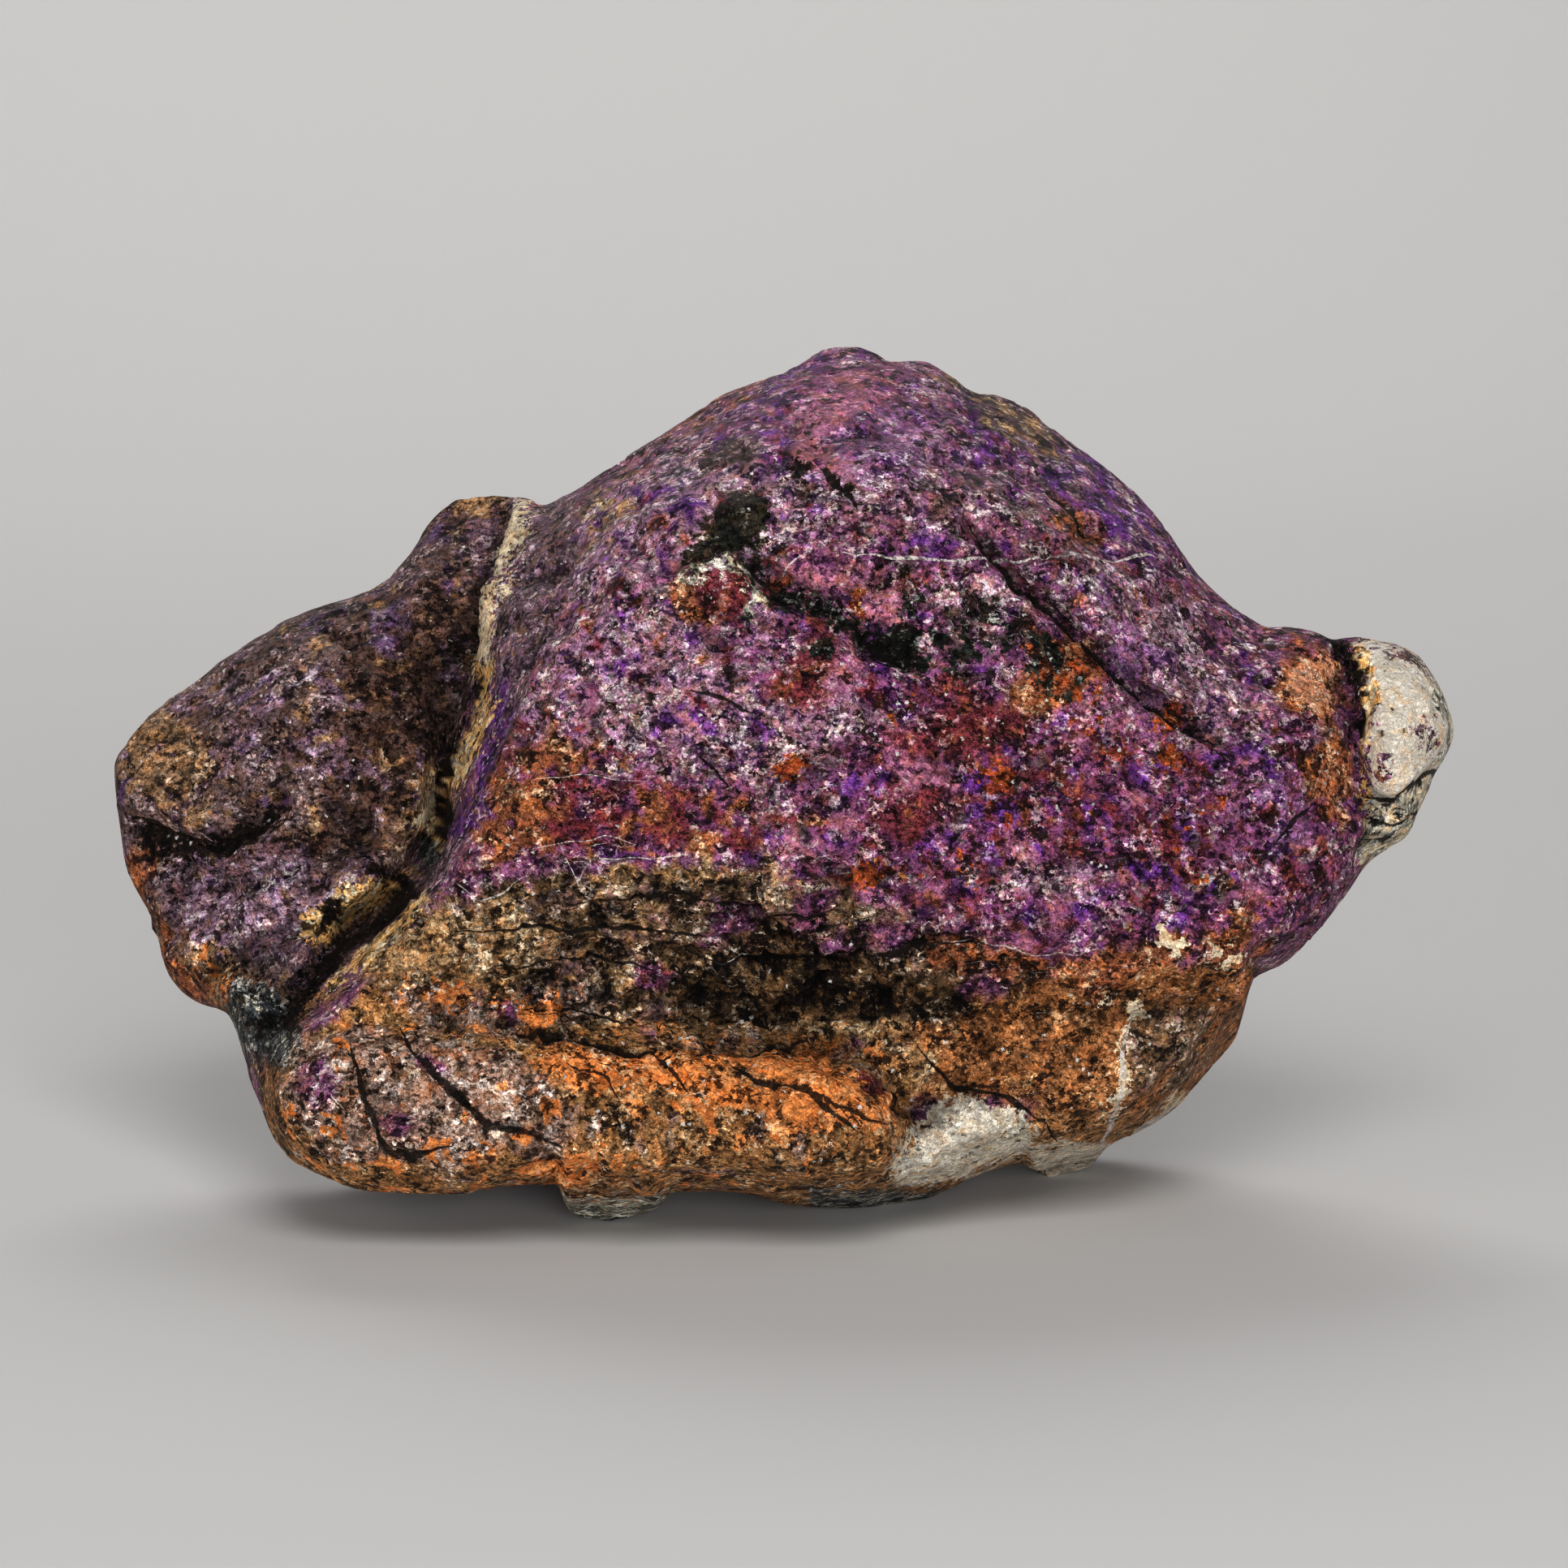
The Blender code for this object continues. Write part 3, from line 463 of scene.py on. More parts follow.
# Black cracks and white threads in the drawing: path, half width at its middle
cracks = [
    ([(-24.2, 8.8), (-23.4, 5.9), (-22.2, 2.9), (-21, 2.6), (-18.8, 3.5)], 0.26),
    ([(-21.5, 10), (-20.6, 8.6), (-18.5, 6.6), (-16.7, 4.8), (-14.8, 4.3), (-12.5, 3.4)], 0.26),
    ([(-14.8, 10.1), (-12.1, 9.8), (-8.9, 9), (-6.2, 9.2)], 0.26),
    ([(-6.2, 9.2), (-2.1, 9.2), (2, 9.6)], 0.13),
    ([(-2.8, 8.1), (-1.4, 7.5), (1.1, 6.9), (2.5, 5.5), (3.8, 4.6)], 0.26),
    ([(-1.4, 7.5), (1.5, 6.6), (4.3, 5.3), (5.6, 4.6)], 0.15),
    ([(-7.5, 9), (-6.2, 7.7), (-5.3, 6.6)], 0.13),
    ([(-12.1, 8.2), (-10, 7.5), (-9.4, 6.3)], 0.13),
    (longCrack, 0.14),
    ([(2, 41.6), (3.4, 40.2), (4, 39.5)], 0.26),
    ([(14.3, 40.5), (15.6, 39.8), (17.2, 37.9)], 0.21),
    ([(27.7, 20.4), (28.8, 21.6), (29.8, 22.9)], 0.15),
    ([(3.6, 32.7), (5.2, 31.3), (7.5, 30.7)], 0.14),
    ([(-5.3, 29.1), (-3.7, 28.5), (-1.6, 27.9)], 0.15),
    ([(-4.8, 25.4), (-3.7, 24.5), (-3, 23.4)], 0.11),
    (waistCrack, 0.13),
    ([(-14.8, 11.3), (-9.4, 10.7), (-4.8, 10.3)], 0.1),
    ([(7.5, 9.1), (9.7, 6.6), (12.5, 6.3), (15.2, 4.1)], 0.15),
    ([(-18.5, 15.4), (-14.8, 15.9), (-11.2, 15.6), (-6.6, 15.4), (-3, 15)], 0.13),
    ([(-16.6, 13.5), (-12.1, 13.9), (-7.5, 13.3)], 0.12),
    ([(-12.1, 17), (-6.2, 17.5), (-0.7, 16.8), (4.3, 16)], 0.12),
    (knobCrack, 0.2),
    ([(32.7, 21.8), (34.2, 21.4), (35.7, 22.2)], 0.15),
    ([(32.6, 20.6), (33.6, 20.4), (34.6, 21)], 0.12),
]
threads = [
    ([(-0.2, 35.3), (0.4, 36.1), (1, 36.5)], 0.06),
    ([(3.4, 36.8), (7, 36.4), (12, 36.3), (16.5, 36.5)], 0.1),
    ([(16.5, 36.5), (18.8, 36.3), (21.2, 36.3)], 0.08),
    ([(-14.8, 20.1), (-12.5, 20.4), (-10.3, 20.9), (-7.5, 20.3)], 0.03),
    ([(-12.5, 19.3), (-9.4, 19.6), (-7.5, 19.5), (-5.7, 19.9)], 0.05),
    ([(-12.5, 19.9), (-11.5, 18.3), (-10.4, 20.1)], 0.04),
    ([(-18.5, 18.3), (-17.1, 17.3), (-15.7, 17.9), (-14.4, 18.6)], 0.05),
    ([(-13.9, 24.1), (-11.2, 24.3), (-8, 24)], 0.03),
    ([(-3.9, 14.1), (-1.2, 14.3)], 0.06),
    (whiteVein, 0.14),
    ([(18.5, 3.5), (20.2, 4.6), (22.1, 6.1)], 0.12),
    ([(8.8, 14.8), (11.3, 15), (14.7, 14.3), (17.5, 14.4)], 0.04),
]
farOff = 30.0  # half widths from any of them

# signed distance to each path over its own half width, narrowed towards its ends and by noise; the path whose
# line is nearest by that measure is kept
def lineDistance(x, v, paths, wider):
    best = np.full(np.shape(x), farOff)
    for path, halfWidth in paths:
        distance, side, along = toPath(x, v, path)
        width = halfWidth * (0.35 + 0.65 * eased(np.minimum(along, 1 - along) * 3.5)) * wider
        measure = np.clip(side * distance / width, -farOff, farOff)
        best = np.where(np.abs(measure) < np.abs(best), measure, best)
    return best


# signed distance to the edge of an area with straight sides, less than nothing inside
def areaDistance(x, v, corners):
    inside = np.zeros(np.shape(x), bool)
    best = np.full(np.shape(x), 1e9)
    for (ax, ay), (bx, by) in zip(corners, corners[1:] + corners[:1]):
        t = np.clip(((x - ax) * (bx - ax) + (v - ay) * (by - ay)) / ((bx - ax) ** 2 + (by - ay) ** 2), 0, 1)
        best = np.minimum(best, np.hypot(x - ax - t * (bx - ax), v - ay - t * (by - ay)))
        crosses = ((ay > v) != (by > v)) & (x < (bx - ax) * (v - ay) / (by - ay + 1e-12) + ax)
        inside ^= crosses
    return np.where(inside, -best, best)


# Paints: how the purple stone, its stains and its matrix are speckled. Each has its main, deep, side and
# pale tone (red, green, blue from 0 to 255), what share of it is deep, side and pale flecks,
# and how much of the rise and fall of lightness it is spared
paints = {
    "purple": ((120, 70, 105), (48, 18, 58), (146, 86, 92), (198, 168, 178), (0.28, 0.24, 0.16), 0),
    "lilac": ((150, 108, 132), (62, 30, 80), (164, 116, 114), (214, 192, 200), (0.26, 0.22, 0.2), 0),
    "deepPurple": ((118, 64, 100), (40, 10, 50), (132, 60, 58), (194, 156, 170), (0.32, 0.22, 0.14), 0),
    "rose": ((168, 104, 132), (100, 44, 84), (178, 106, 104), (206, 160, 174), (0.16, 0.25, 0.08), 0.3),
    "wine": ((104, 42, 52), (46, 10, 20), (140, 74, 50), (190, 140, 146), (0.3, 0.25, 0.08), 0),
    "rust": ((138, 80, 54), (48, 20, 16), (176, 100, 54), (210, 166, 130), (0.32, 0.25, 0.12), 0),
    "brightOrange": ((158, 74, 36), (76, 24, 14), (140, 54, 38), (222, 150, 100), (0.28, 0.25, 0.08), 0),
    "olive": ((46, 42, 32), (12, 11, 9), (70, 52, 36), (124, 118, 106), (0.42, 0.16, 0.1), 0),
    "greenBlack": ((32, 36, 32), (7, 8, 8), (70, 54, 38), (136, 138, 132), (0.42, 0.18, 0.1), 0),
    "waistDark": ((84, 64, 44), (20, 14, 8), (126, 90, 56), (190, 168, 146), (0.34, 0.22, 0.1), 0),
    "waist": ((116, 90, 66), (36, 24, 14), (146, 106, 98), (214, 190, 170), (0.32, 0.22, 0.17), 0),
    "tan": ((160, 126, 88), (56, 38, 24), (176, 124, 78), (216, 192, 160), (0.2, 0.26, 0.16), 0),
    "noseGrain": ((156, 124, 108), (62, 36, 28), (166, 104, 70), (226, 204, 192), (0.26, 0.22, 0.2), 0),
    "orange": ((224, 130, 66), (64, 28, 10), (244, 158, 92), (252, 196, 144), (0.2, 0.3, 0.1), 0.32),
    "brown": ((152, 108, 66), (52, 32, 18), (182, 122, 72), (214, 176, 134), (0.28, 0.26, 0.12), 0),
    "rightBrown": ((146, 94, 56), (62, 34, 16), (178, 112, 64), (206, 158, 112), (0.26, 0.26, 0.1), 0),
    "white": ((222, 210, 190), (150, 132, 110), (198, 182, 158), (240, 232, 216), (0.12, 0.25, 0.26), 0.5),
    "knobWhite": ((224, 212, 194), (182, 162, 144), (212, 196, 182), (242, 234, 222), (0.05, 0.12, 0.3), 0.8),
    "greyFoot": ((176, 170, 152), (40, 39, 34), (140, 144, 128), (236, 230, 218), (0.3, 0.3, 0.22), 0),
    "lobe": ((98, 76, 76), (38, 26, 34), (122, 92, 76), (174, 150, 150), (0.26, 0.22, 0.14), 0),
    "lobeDark": ((80, 58, 52), (22, 13, 10), (104, 72, 52), (110, 88, 82), (0.32, 0.22, 0.06), 0),
    "lobeTan": ((142, 110, 82), (50, 36, 26), (170, 122, 80), (196, 166, 138), (0.18, 0.28, 0.14), 0),
    "facet": ((112, 84, 98), (48, 30, 46), (120, 88, 66), (178, 154, 164), (0.26, 0.22, 0.14), 0),
    "cream": ((248, 226, 190), (110, 82, 56), (226, 190, 144), (244, 226, 200), (0.08, 0.2, 0.26), 0.55),
    "sugar": ((142, 116, 124), (56, 44, 52), (138, 106, 120), (210, 194, 196), (0.34, 0.3, 0.26), 0),
    "orchid": ((140, 94, 136), (62, 20, 80), (146, 92, 120), (204, 176, 198), (0.28, 0.22, 0.14), 0.1),
    "violet": ((92, 44, 118), (38, 12, 60), (122, 68, 128), (178, 146, 186), (0.3, 0.3, 0.12), 0),
    "frost": ((182, 150, 172), (84, 50, 96), (154, 112, 142), (220, 206, 208), (0.3, 0.3, 0.2), 0),
    "smoke": ((74, 56, 58), (24, 16, 18), (96, 66, 54), (150, 130, 134), (0.36, 0.2, 0.12), 0),
    "crumbs": ((246, 190, 118), (18, 12, 7), (250, 196, 120), (255, 240, 205), (0.3, 0.25, 0.2), 0.3),
    "slate": ((66, 70, 72), (20, 22, 25), (92, 90, 84), (200, 200, 192), (0.34, 0.22, 0.24), 0),
    "dullViolet": ((88, 62, 94), (38, 24, 46), (104, 80, 92), (150, 128, 146), (0.28, 0.25, 0.14), 0),
    "peach": ((200, 138, 108), (110, 60, 58), (226, 150, 96), (240, 206, 178), (0.16, 0.3, 0.14), 0.3),
    # the black paint below is painted shade, standing in for the darkness inside the crevice, cracks, pits
    # and recesses
    "gap": ((24, 17, 13), (6, 4, 3), (52, 36, 24), (80, 62, 50), (0.4, 0.2, 0.05), 0),
    "backCrust": ((124, 90, 82), (44, 26, 28), (140, 98, 70), (190, 164, 152), (0.26, 0.28, 0.1), 0),
}

# Paints whose edges stay sharp where they lie on the others
sharpPaints = {
    "olive", "greenBlack", "gap", "white", "knobWhite", "greyFoot", "brightOrange", "orange", "cream",
    "slate", "crumbs", "peach",
}

# Areas that several paints share: their corners
faceArea = [(-10.5, 40.9), (-3.9, 45.4), (1.5, 48.4), (10.2, 47.7), (19.7, 40.4), (27, 33.2), (31.5, 32.3),
    (32.9, 22.3), (27, 14.5), (15.2, 14.1), (6.1, 16.8), (-3, 19.5), (-16.6, 19.5), (-17.5, 25.4),
    (-13.9, 33.2)]
waistArea = [(-22.1, 17.3), (-12.1, 19.1), (-4.8, 19.5), (3.4, 17.7), (14.3, 13.6), (15.2, 10.4), (7, 9.1),
    (-18.5, 10.4), (-23.9, 12.3)]
ledgeArea = [(-28.9, 11.3), (-13.9, 10.3), (1.5, 9.6), (7, 8.6), (6.5, 4.1), (4.3, -0.5), (-28.9, -0.5)]
wineArea = [(-16.6, 25.9), (-12.1, 26.8), (-7.5, 24.5), (-2.1, 23.2), (-1.2, 20), (-6.6, 19.1), (-16.6, 19.5)]
waistCentre = [(-7.5, 13.6), (-3, 14.3), (1.5, 14.8), (7, 13.8), (12, 12.7), (13.6, 11.3), (10.6, 10.3),
    (1.5, 10.3), (-4.8, 11.1)]
lobeArea = [(-14.8, 40), (-15.7, 35.9), (-17.1, 31.3), (-18.5, 25.4), (-20.7, 20.4), (-23.9, 16.8),
    (-28.5, 10.9), (-33, 10.4), (-38, 19.5), (-38, 26.8), (-30.3, 33.6), (-20.3, 39.5)]
crownArea = [(-3.9, 44.1), (-0.3, 47.7), (5.2, 48.4), (10.6, 45.9), (14.3, 42.3), (9.7, 39.5), (1.5, 42.3),
    (-3, 41.3)]
rightFace = [(5.6, 28.6), (9.7, 29.5), (16.5, 28.2), (23.4, 25), (27, 21.8), (23.4, 17.7), (15.2, 17.3),
    (7.5, 18.6), (4.3, 22.7)]
sugarArea = [(4.3, 42.3), (8.8, 44.1), (15.2, 41.3), (20.6, 36.8), (23.4, 31.3), (18.8, 31.3), (12.5, 35),
    (5.2, 37.7), (1.5, 39.5)]


# one row for each blob of a paint: the first five numbers are its shape
def spots(paint, *blobs):
    return [(paint, blob[:5], *blob[5:]) for blob in blobs]


# one row for each paint that lies in loose patches over the same area
def scattered(area, softness, rough, *patches):
    return [(paint, area, softness, rough, *patch) for paint, *patch in patches]


# Where each paint lies on the front, laid one over the other: area corners, or a blob (centre x and height,
# two radii, turn), or a band (path, half width), then how soft its edge is and how ragged, in millimetres.
# Broken ones go on with the size of their patches, a seed and how much of the shape they cover
frontAreas = [
    # the purple face
    ("lilac", [(-10.5, 40.4), (-3.9, 45), (1.5, 48.2), (5.6, 48.6), (9.3, 47.3), (9.7, 43.2), (7, 39.5),
        (2, 38.6), (-0.3, 35.9), (-0.3, 31.3), (6.1, 27.7), (4.3, 24.5), (-3, 24.5), (-8.5, 25.4),
        (-15.7, 25.9), (-14.4, 33.2)], 1.5, 1.6),
    ("deepPurple", [(3.4, 30), (9.7, 30.4), (15.2, 28.2), (22, 25.4), (27, 25.4), (32.9, 23.2), (29.7, 16.8),
        (24.3, 15), (15.2, 15), (7, 16.3), (1.5, 19.5), (2.5, 24.1)], 1.2, 1.6),
    ("lilac", [(10.2, 45), (14.7, 43.2), (18.8, 39.5), (22.9, 35), (24.3, 28.6), (19.7, 32.3), (14.3, 38.6)],
        0.8, 1.2),
    ("rose", (16.5, 37.9, 2.73, 1, -0.75), 0.8, 1.2),
    *scattered(faceArea, 1, 0.6, ("violet", 2.4, 81, 0.17), ("deepPurple", 2.2, 80, 0.12),
        ("frost", 1.7, 82, 0.07), ("smoke", 1.7, 83, 0.1), ("wine", 1.9, 84, 0.15), ("rose", 2.4, 85, 0.09),
        ("sugar", 1.3, 130, 0.1)),
    ("sugar", sugarArea, 1.5, 1.2, 1.1, 131, 0.26),
    ("rust", faceArea, 1, 0.6, 1.5, 86, 0.05),
    ("orchid", crownArea, 1.5, 1.2, 1.6, 156, 0.5),
    *scattered(crownArea, 1.5, 1, ("violet", 1.9, 106, 0.38), ("deepPurple", 1.2, 107, 0.34)),
    ("violet", rightFace, 1.5, 1, 1.8, 108, 0.22),
    ("brightOrange", rightFace, 0.5, 0.6, 0.75, 109, 0.07),
    ("orchid", (5.6, 43.2, 2.73, 1.36, 0.3), 1.2, 1.2, 1.3, 141, 0.75),
    ("lilac", (8.4, 40.4, 3.18, 2.27, 0), 1.2, 1.2, 1.2, 142, 0.6),
    *spots("orchid", (6.1, 42.3, 2.27, 1.64, 0.5, 1, 1.2, 1, 143, 0.6),
        (20.9, 30.4, 3.64, 1.55, -0.55, 1.2, 1.2, 1.2, 144, 0.75)),
    ("lilac", (22.9, 28.6, 2.73, 1.82, -0.5), 1.2, 1.2, 1.2, 145, 0.6),
    ("rose", (17.2, 27.3, 2, 1.55, -0.2), 1, 1.2, 1.1, 146, 0.6),
    ("orchid", (27, 22.3, 2.27, 2.55, 0), 1.2, 1.2, 1.2, 147, 0.55),
    *spots("deepPurple", (4.3, 46.4, 3.18, 1.18, 0, 1, 1.2, 1.2, 148, 0.7),
        (-1, 31.3, 2.27, 1.82, 0, 1, 1.2, 1, 149, 0.5), (20.6, 35.9, 2.55, 1.36, -0.6, 1, 1.2, 1, 150, 0.5)),
    ("wine", (15.2, 23.8, 2.55, 1.55, 0), 1, 1.2, 1, 151, 0.6),
    ("violet", (17, 40, 5, 2, -0.7), 1.2, 1.2, 1.3, 154, 0.45),
    ("wine", rightFace, 0.8, 0.6, 1, 110, 0.16),
    *spots("rose", (2.2, 41.9, 2.09, 1.18, -0.7, 0.6, 0.9), (2, 35.3, 2.82, 0.82, 0.1, 0.5, 0.7),
        (2.9, 45, 2.27, 1.09, 0.5, 0.8, 1), (2.9, 30, 1.18, 2.73, -0.5, 0.8, 1),
        (7.5, 24.5, 1.55, 2.73, 0.6, 0.8, 1.2)),
    *spots("lilac", (23.4, 30, 3.41, 1.18, -0.7, 0.8, 1.4), (15.6, 18.6, 2.5, 1, 0.1, 0.8, 1.4),
        (10.2, 34.1, 2.05, 1.18, 0.1, 0.7, 1.2), (3.8, 27.5, 1.55, 0.91, 0.2, 0.5, 1)),
    ("facet", [(-14.1, 39.9), (-10.5, 40.4), (-12.1, 35.9), (-13.9, 31.3), (-15.7, 25.4), (-17.5, 20.4),
        (-19.8, 17.3), (-23.5, 13.6), (-26.6, 11.3), (-27.1, 12.5), (-22.5, 17.3), (-19.8, 20.4),
        (-18.5, 25.4), (-17.1, 30.9), (-15.3, 35.9)], 1, 1.2),
    ("purple", (-17.3, 24.1, 0.73, 3.64, -0.2), 0.6, 1),
    ("rust", [(-16.6, 25.4), (-13, 26.8), (-10.3, 25.4), (-11.2, 22.3), (-12.1, 20), (-16.6, 19.5),
        (-17.8, 20.9)], 0.9, 1.6),
    ("wine", [(-12.1, 24.3), (-8, 23.8), (-3.9, 23.6), (-2.3, 21.8), (-2.8, 20), (-6.6, 20), (-12.1, 20),
        (-13.9, 21.3)], 0.8, 1.2),
    ("wine", (-2.8, 21.3, 1.36, 1.45, 0.3), 0.6, 0.9),
    *scattered(wineArea, 0.6, 0.8, ("rust", 1.6, 76, 0.3), ("deepPurple", 1.5, 77, 0.26)),
    *spots("wine", (1.3, 29.8, 1.18, 2.73, -0.35, 0.7, 1.1), (9.7, 27, 3.86, 1.73, 0.2, 0.9, 1.6),
        (7, 21.8, 2.27, 1.27, 0.4, 0.7, 1.3), (-3, 34.5, 1.36, 1.55, -0.3, 0.5, 0.7)),
    *spots("rust", (-4.9, 34.1, 1.55, 1.64, -0.3, 0.5, 0.8), (15.4, 30.4, 2.82, 1.82, 0.7, 0.7, 1.4)),
    ("brightOrange", [(13.5, 32.9), (15.2, 32.3), (17.5, 29.8), (17, 28.2), (14.7, 29.1), (12.9, 30.7)], 0.4,
        1, 0.9, 105, 0.6),
    *spots("brightOrange", (21.5, 27.3, 0.91, 0.59, 0.6, 0.3, 0.6), (12, 24, 0.68, 0.64, 0, 0.3, 0.6),
        (21.5, 25.4, 0.82, 0.55, 0.5, 0.3, 0.6), (18.8, 25.4, 0.73, 0.45, 0.5, 0.3, 0.6),
        (5.1, 18.7, 1.18, 0.68, 0.3, 0.3, 0.6), (0.6, 24.8, 1, 0.64, 0.4, 0.3, 0.7)),
    ("rust", (29.5, 29.3, 2, 2.27, 0.2), 0.8, 1.2),
    ("peach", (29.6, 29.2, 1.36, 1.64, 0.2), 0.5, 1),
    ("rust", (30.6, 24.1, 1.18, 2.27, 0.2), 0.7, 1.2),
    # stains on the crown, and the dark breaks in the face
    ("rust", (-3.5, 45.2, 2.73, 0.64, 0.55), 0.8, 1.2, 1.1, 121, 0.6),
    ("tan", (-9.8, 38.6, 1.09, 1.82, -0.5), 0.8, 1.2, 0.9, 120, 0.5),
    ("rust", (16.5, 38.2, 1.18, 0.82, -0.5), 0.5, 1),
    ("smoke", (12.5, 44.5, 3.18, 1, -0.6), 0.8, 1.2),
    ("tan", (12.2, 44.8, 2.73, 0.64, -0.6), 0.6, 1.2, 0.9, 122, 0.5),
    ("greenBlack", (2, 31.3, 0.73, 0.45, 0), 0.3, 0.5),
    ("olive", (-2, 39, 1.18, 1.23, 0.2), 0.3, 0.5),
    ("olive", [(-5.5, 37), (-4.7, 38.2), (-3.4, 39), (-1.9, 38.6), (-1, 37.3), (-1.4, 36.3), (-2.8, 36.8),
        (-4.3, 36.5), (-5.3, 36.3)], 0.3, 0.8),
    ("greenBlack", (-2.8, 37.7, 0.91, 0.64, -0.4), 0.3, 0.9),
    ("greyFoot", ([(-5.5, 35.3), (-4.4, 35.9), (-3, 36.3), (-1.9, 35.9), (-1.6, 34.1), (-1.9, 33.2)], 0.36),
        0.25, 0.4),
    ("wine", (-3.6, 34.4, 1.55, 1.36, -0.3), 0.4, 0.5),
    ("greenBlack", ([(-1.8, 36.2), (-0.9, 34.9), (1.1, 34.2), (3.2, 33.1), (4.4, 31.9), (7.9, 30.5)], 0.39),
        0.25, 0.35),
    *spots("greenBlack", (0, 34.3, 1.18, 0.77, -0.5, 0.3, 0.8), (3.5, 32.8, 1, 0.68, -0.5, 0.3, 0.7),
        (6.8, 31.9, 1.09, 1, -0.3, 0.3, 0.9), (7.3, 33.5, 0.45, 1.18, -0.4, 0.3, 0.7)),
    *spots("brightOrange", (4.1, 34, 0.41, 0.64, 0.2, 0.3, 0.5), (0, 35.2, 0.55, 0.27, 0.1, 0.3, 0.4)),
    ("greenBlack", [(7.9, 33.5), (10, 34.4), (12.5, 33.7), (13.5, 31.3), (11.3, 29.6), (9.3, 30.2),
        (8.2, 31.3)], 0.4, 0.9, 0.7, 102, 0.46),
    ("smoke", [(7.9, 33.5), (10, 34.4), (13.5, 33.7), (15.2, 31.3), (11.3, 29.6), (8.8, 30.2)], 0.8, 0.9, 1.2,
        103, 0.5),
    ("greenBlack", [(12.7, 32.7), (14.7, 32.5), (17.2, 29.1), (16.5, 28.3), (13.8, 29.5), (12.5, 31.3)], 0.4,
        0.9, 0.9, 104, 0.45),
    ("smoke", (10.2, 40.4, 3.18, 0.55, 0.15), 0.9, 1.6, 0.8, 132, 0.5),
    ("rose", [(4.4, 34.3), (6.5, 34.3), (6.6, 32.9), (5.2, 32.2), (4.6, 32.9)], 0.3, 0.4),
    # a small black spot of painted shade
    ("gap", (0.9, 41.5, 0.55, 0.64, 0.3), 0.3, 0.4),
    ("olive", (2.9, 40.8, 1.09, 0.36, -0.7), 0.3, 0.5),
    ("smoke", (-2.8, 42, 1.82, 0.64, 0.2), 0.8, 1.4),
    # the brown waist
    ("waist", [(-18.5, 17.5), (-14.8, 18.2), (-10.3, 18.7), (-4.8, 19.4), (-0.3, 18.8), (3.4, 17.9),
        (7.5, 16.3), (9.7, 14.8), (12, 13.6), (14.7, 12.5), (12.9, 10.4), (8.4, 8.6), (1.5, 9.5), (-9.4, 9.5),
        (-18.5, 11.1), (-21.2, 13.2), (-20.3, 15.9)], 0.9, 1.2),
    *scattered(waistArea, 0.8, 0.6, ("smoke", 1.6, 87, 0.2), ("tan", 1.5, 88, 0.16),
        ("waistDark", 2, 89, 0.26)),
    ("tan", ([(-14.8, 18.1), (-10.3, 18.6), (-4.8, 19.2), (-0.3, 18.6), (3.4, 17.7)], 0.55), 0.8, 1.6, 1.2,
        111, 0.5),
    ("waistDark", [(-7.5, 13.8), (-4.8, 14.4), (0.6, 15.4), (6.5, 14.2), (11.5, 13.2), (13.8, 11.6),
        (11.5, 10.3), (6.1, 10.1), (0.6, 10.3), (-3.9, 10.9), (-7.5, 12)], 0.7, 1.4),
    # black patches in the middle of the waist: partly its own dark colour, partly painted shade in its recess
    ("gap", waistCentre, 0.6, 1.2, 1.1, 78, 0.32),
    ("gap", (1.1, 15.9, 0.82, 0.82, 0), 0.3, 0.5),
    *spots("deepPurple", (0.8, 16.1, 0.41, 0.36, 0, 0.25, 0.3), (-7.1, 12.9, 1, 0.59, -0.2, 0.3, 0.6)),
    *spots("purple", (-1.6, 16.4, 3.64, 0.82, 0.1, 0.8, 1.8), (5.6, 15.4, 2.73, 0.91, 0.1, 0.8, 1.4),
        (11.3, 12.5, 1.64, 1, 0.1, 0.5, 1)),
    ("tan", [(-23.2, 15), (-19.8, 17), (-15.7, 16.9), (-13, 15.4), (-14.8, 12.5), (-19.4, 11.7),
        (-23.9, 12.2)], 1, 1.4),
    ("tan", ([(-15.7, 10.3), (-9.4, 10.1), (1.5, 10), (7, 9.8)], 0.64), 0.5, 0.8),
    # the lower right lobe
    ("rightBrown", [(5.6, 9.1), (8.8, 10.7), (12.5, 12), (13.4, 13.6), (19.7, 14.5), (26.1, 13.8),
        (26.3, 10.4), (24.7, 6.8), (22.5, 4.1), (19.3, 1.3), (14.3, 2.3), (13.8, 5.4), (8.8, 6.3),
        (6.1, 5.4)], 0.9, 1.2),
    ("rust", ([(8.4, 14.4), (12, 14.1), (15.2, 12.9), (19.7, 13.8), (23.4, 14.8), (26.5, 15.4)], 0.91), 0.7,
        1.4),
    *spots("cream", (22.9, 14.6, 2.09, 0.59, -0.2, 0.3, 0.9, 0.9, 123, 0.4),
        (19.2, 10.2, 1.36, 1, -0.5, 0.4, 1.1, 0.9, 124, 0.4)),
    ("cream", (whiteVein, 0.36), 0.2, 0.6),
    ("cream", ([(18.8, 3.7), (20.4, 4.6), (22.2, 6.1)], 0.41), 0.2, 0.5),
    ("waist", (21.5, 9.1, 2.73, 1.82, 0.4), 1.2, 1.6),
    ("tan", [(4.3, 9.1), (7.5, 9.5), (8.4, 8.2), (7.5, 6.3), (5.6, 7.3)], 0.5, 0.8),
    # the ledge and its nose
    ("brown", [(-29.4, 11.3), (-23, 12.5), (-13.9, 10.3), (1.5, 9.6), (7.5, 8.6), (7, 3.2), (4.3, -1.4),
        (-29.4, -1.4)], 0.7, 0.9),
    ("brown", [(-28.5, 4.1), (-22.5, 2.3), (-18.5, 4.1), (-12.5, 4.5), (-7.5, 5), (-3, 5.4), (1.5, 4.5),
        (6.1, 5), (7, 4.1), (4.3, 0.4), (-3, -0.5), (-28.5, -0.5)], 0.9, 1.4),
    ("brown", [(-29.8, 11.3), (-27.5, 12.5), (-23, 12.5), (-18.5, 11.3), (-13.9, 10.2), (-12.1, 8.6),
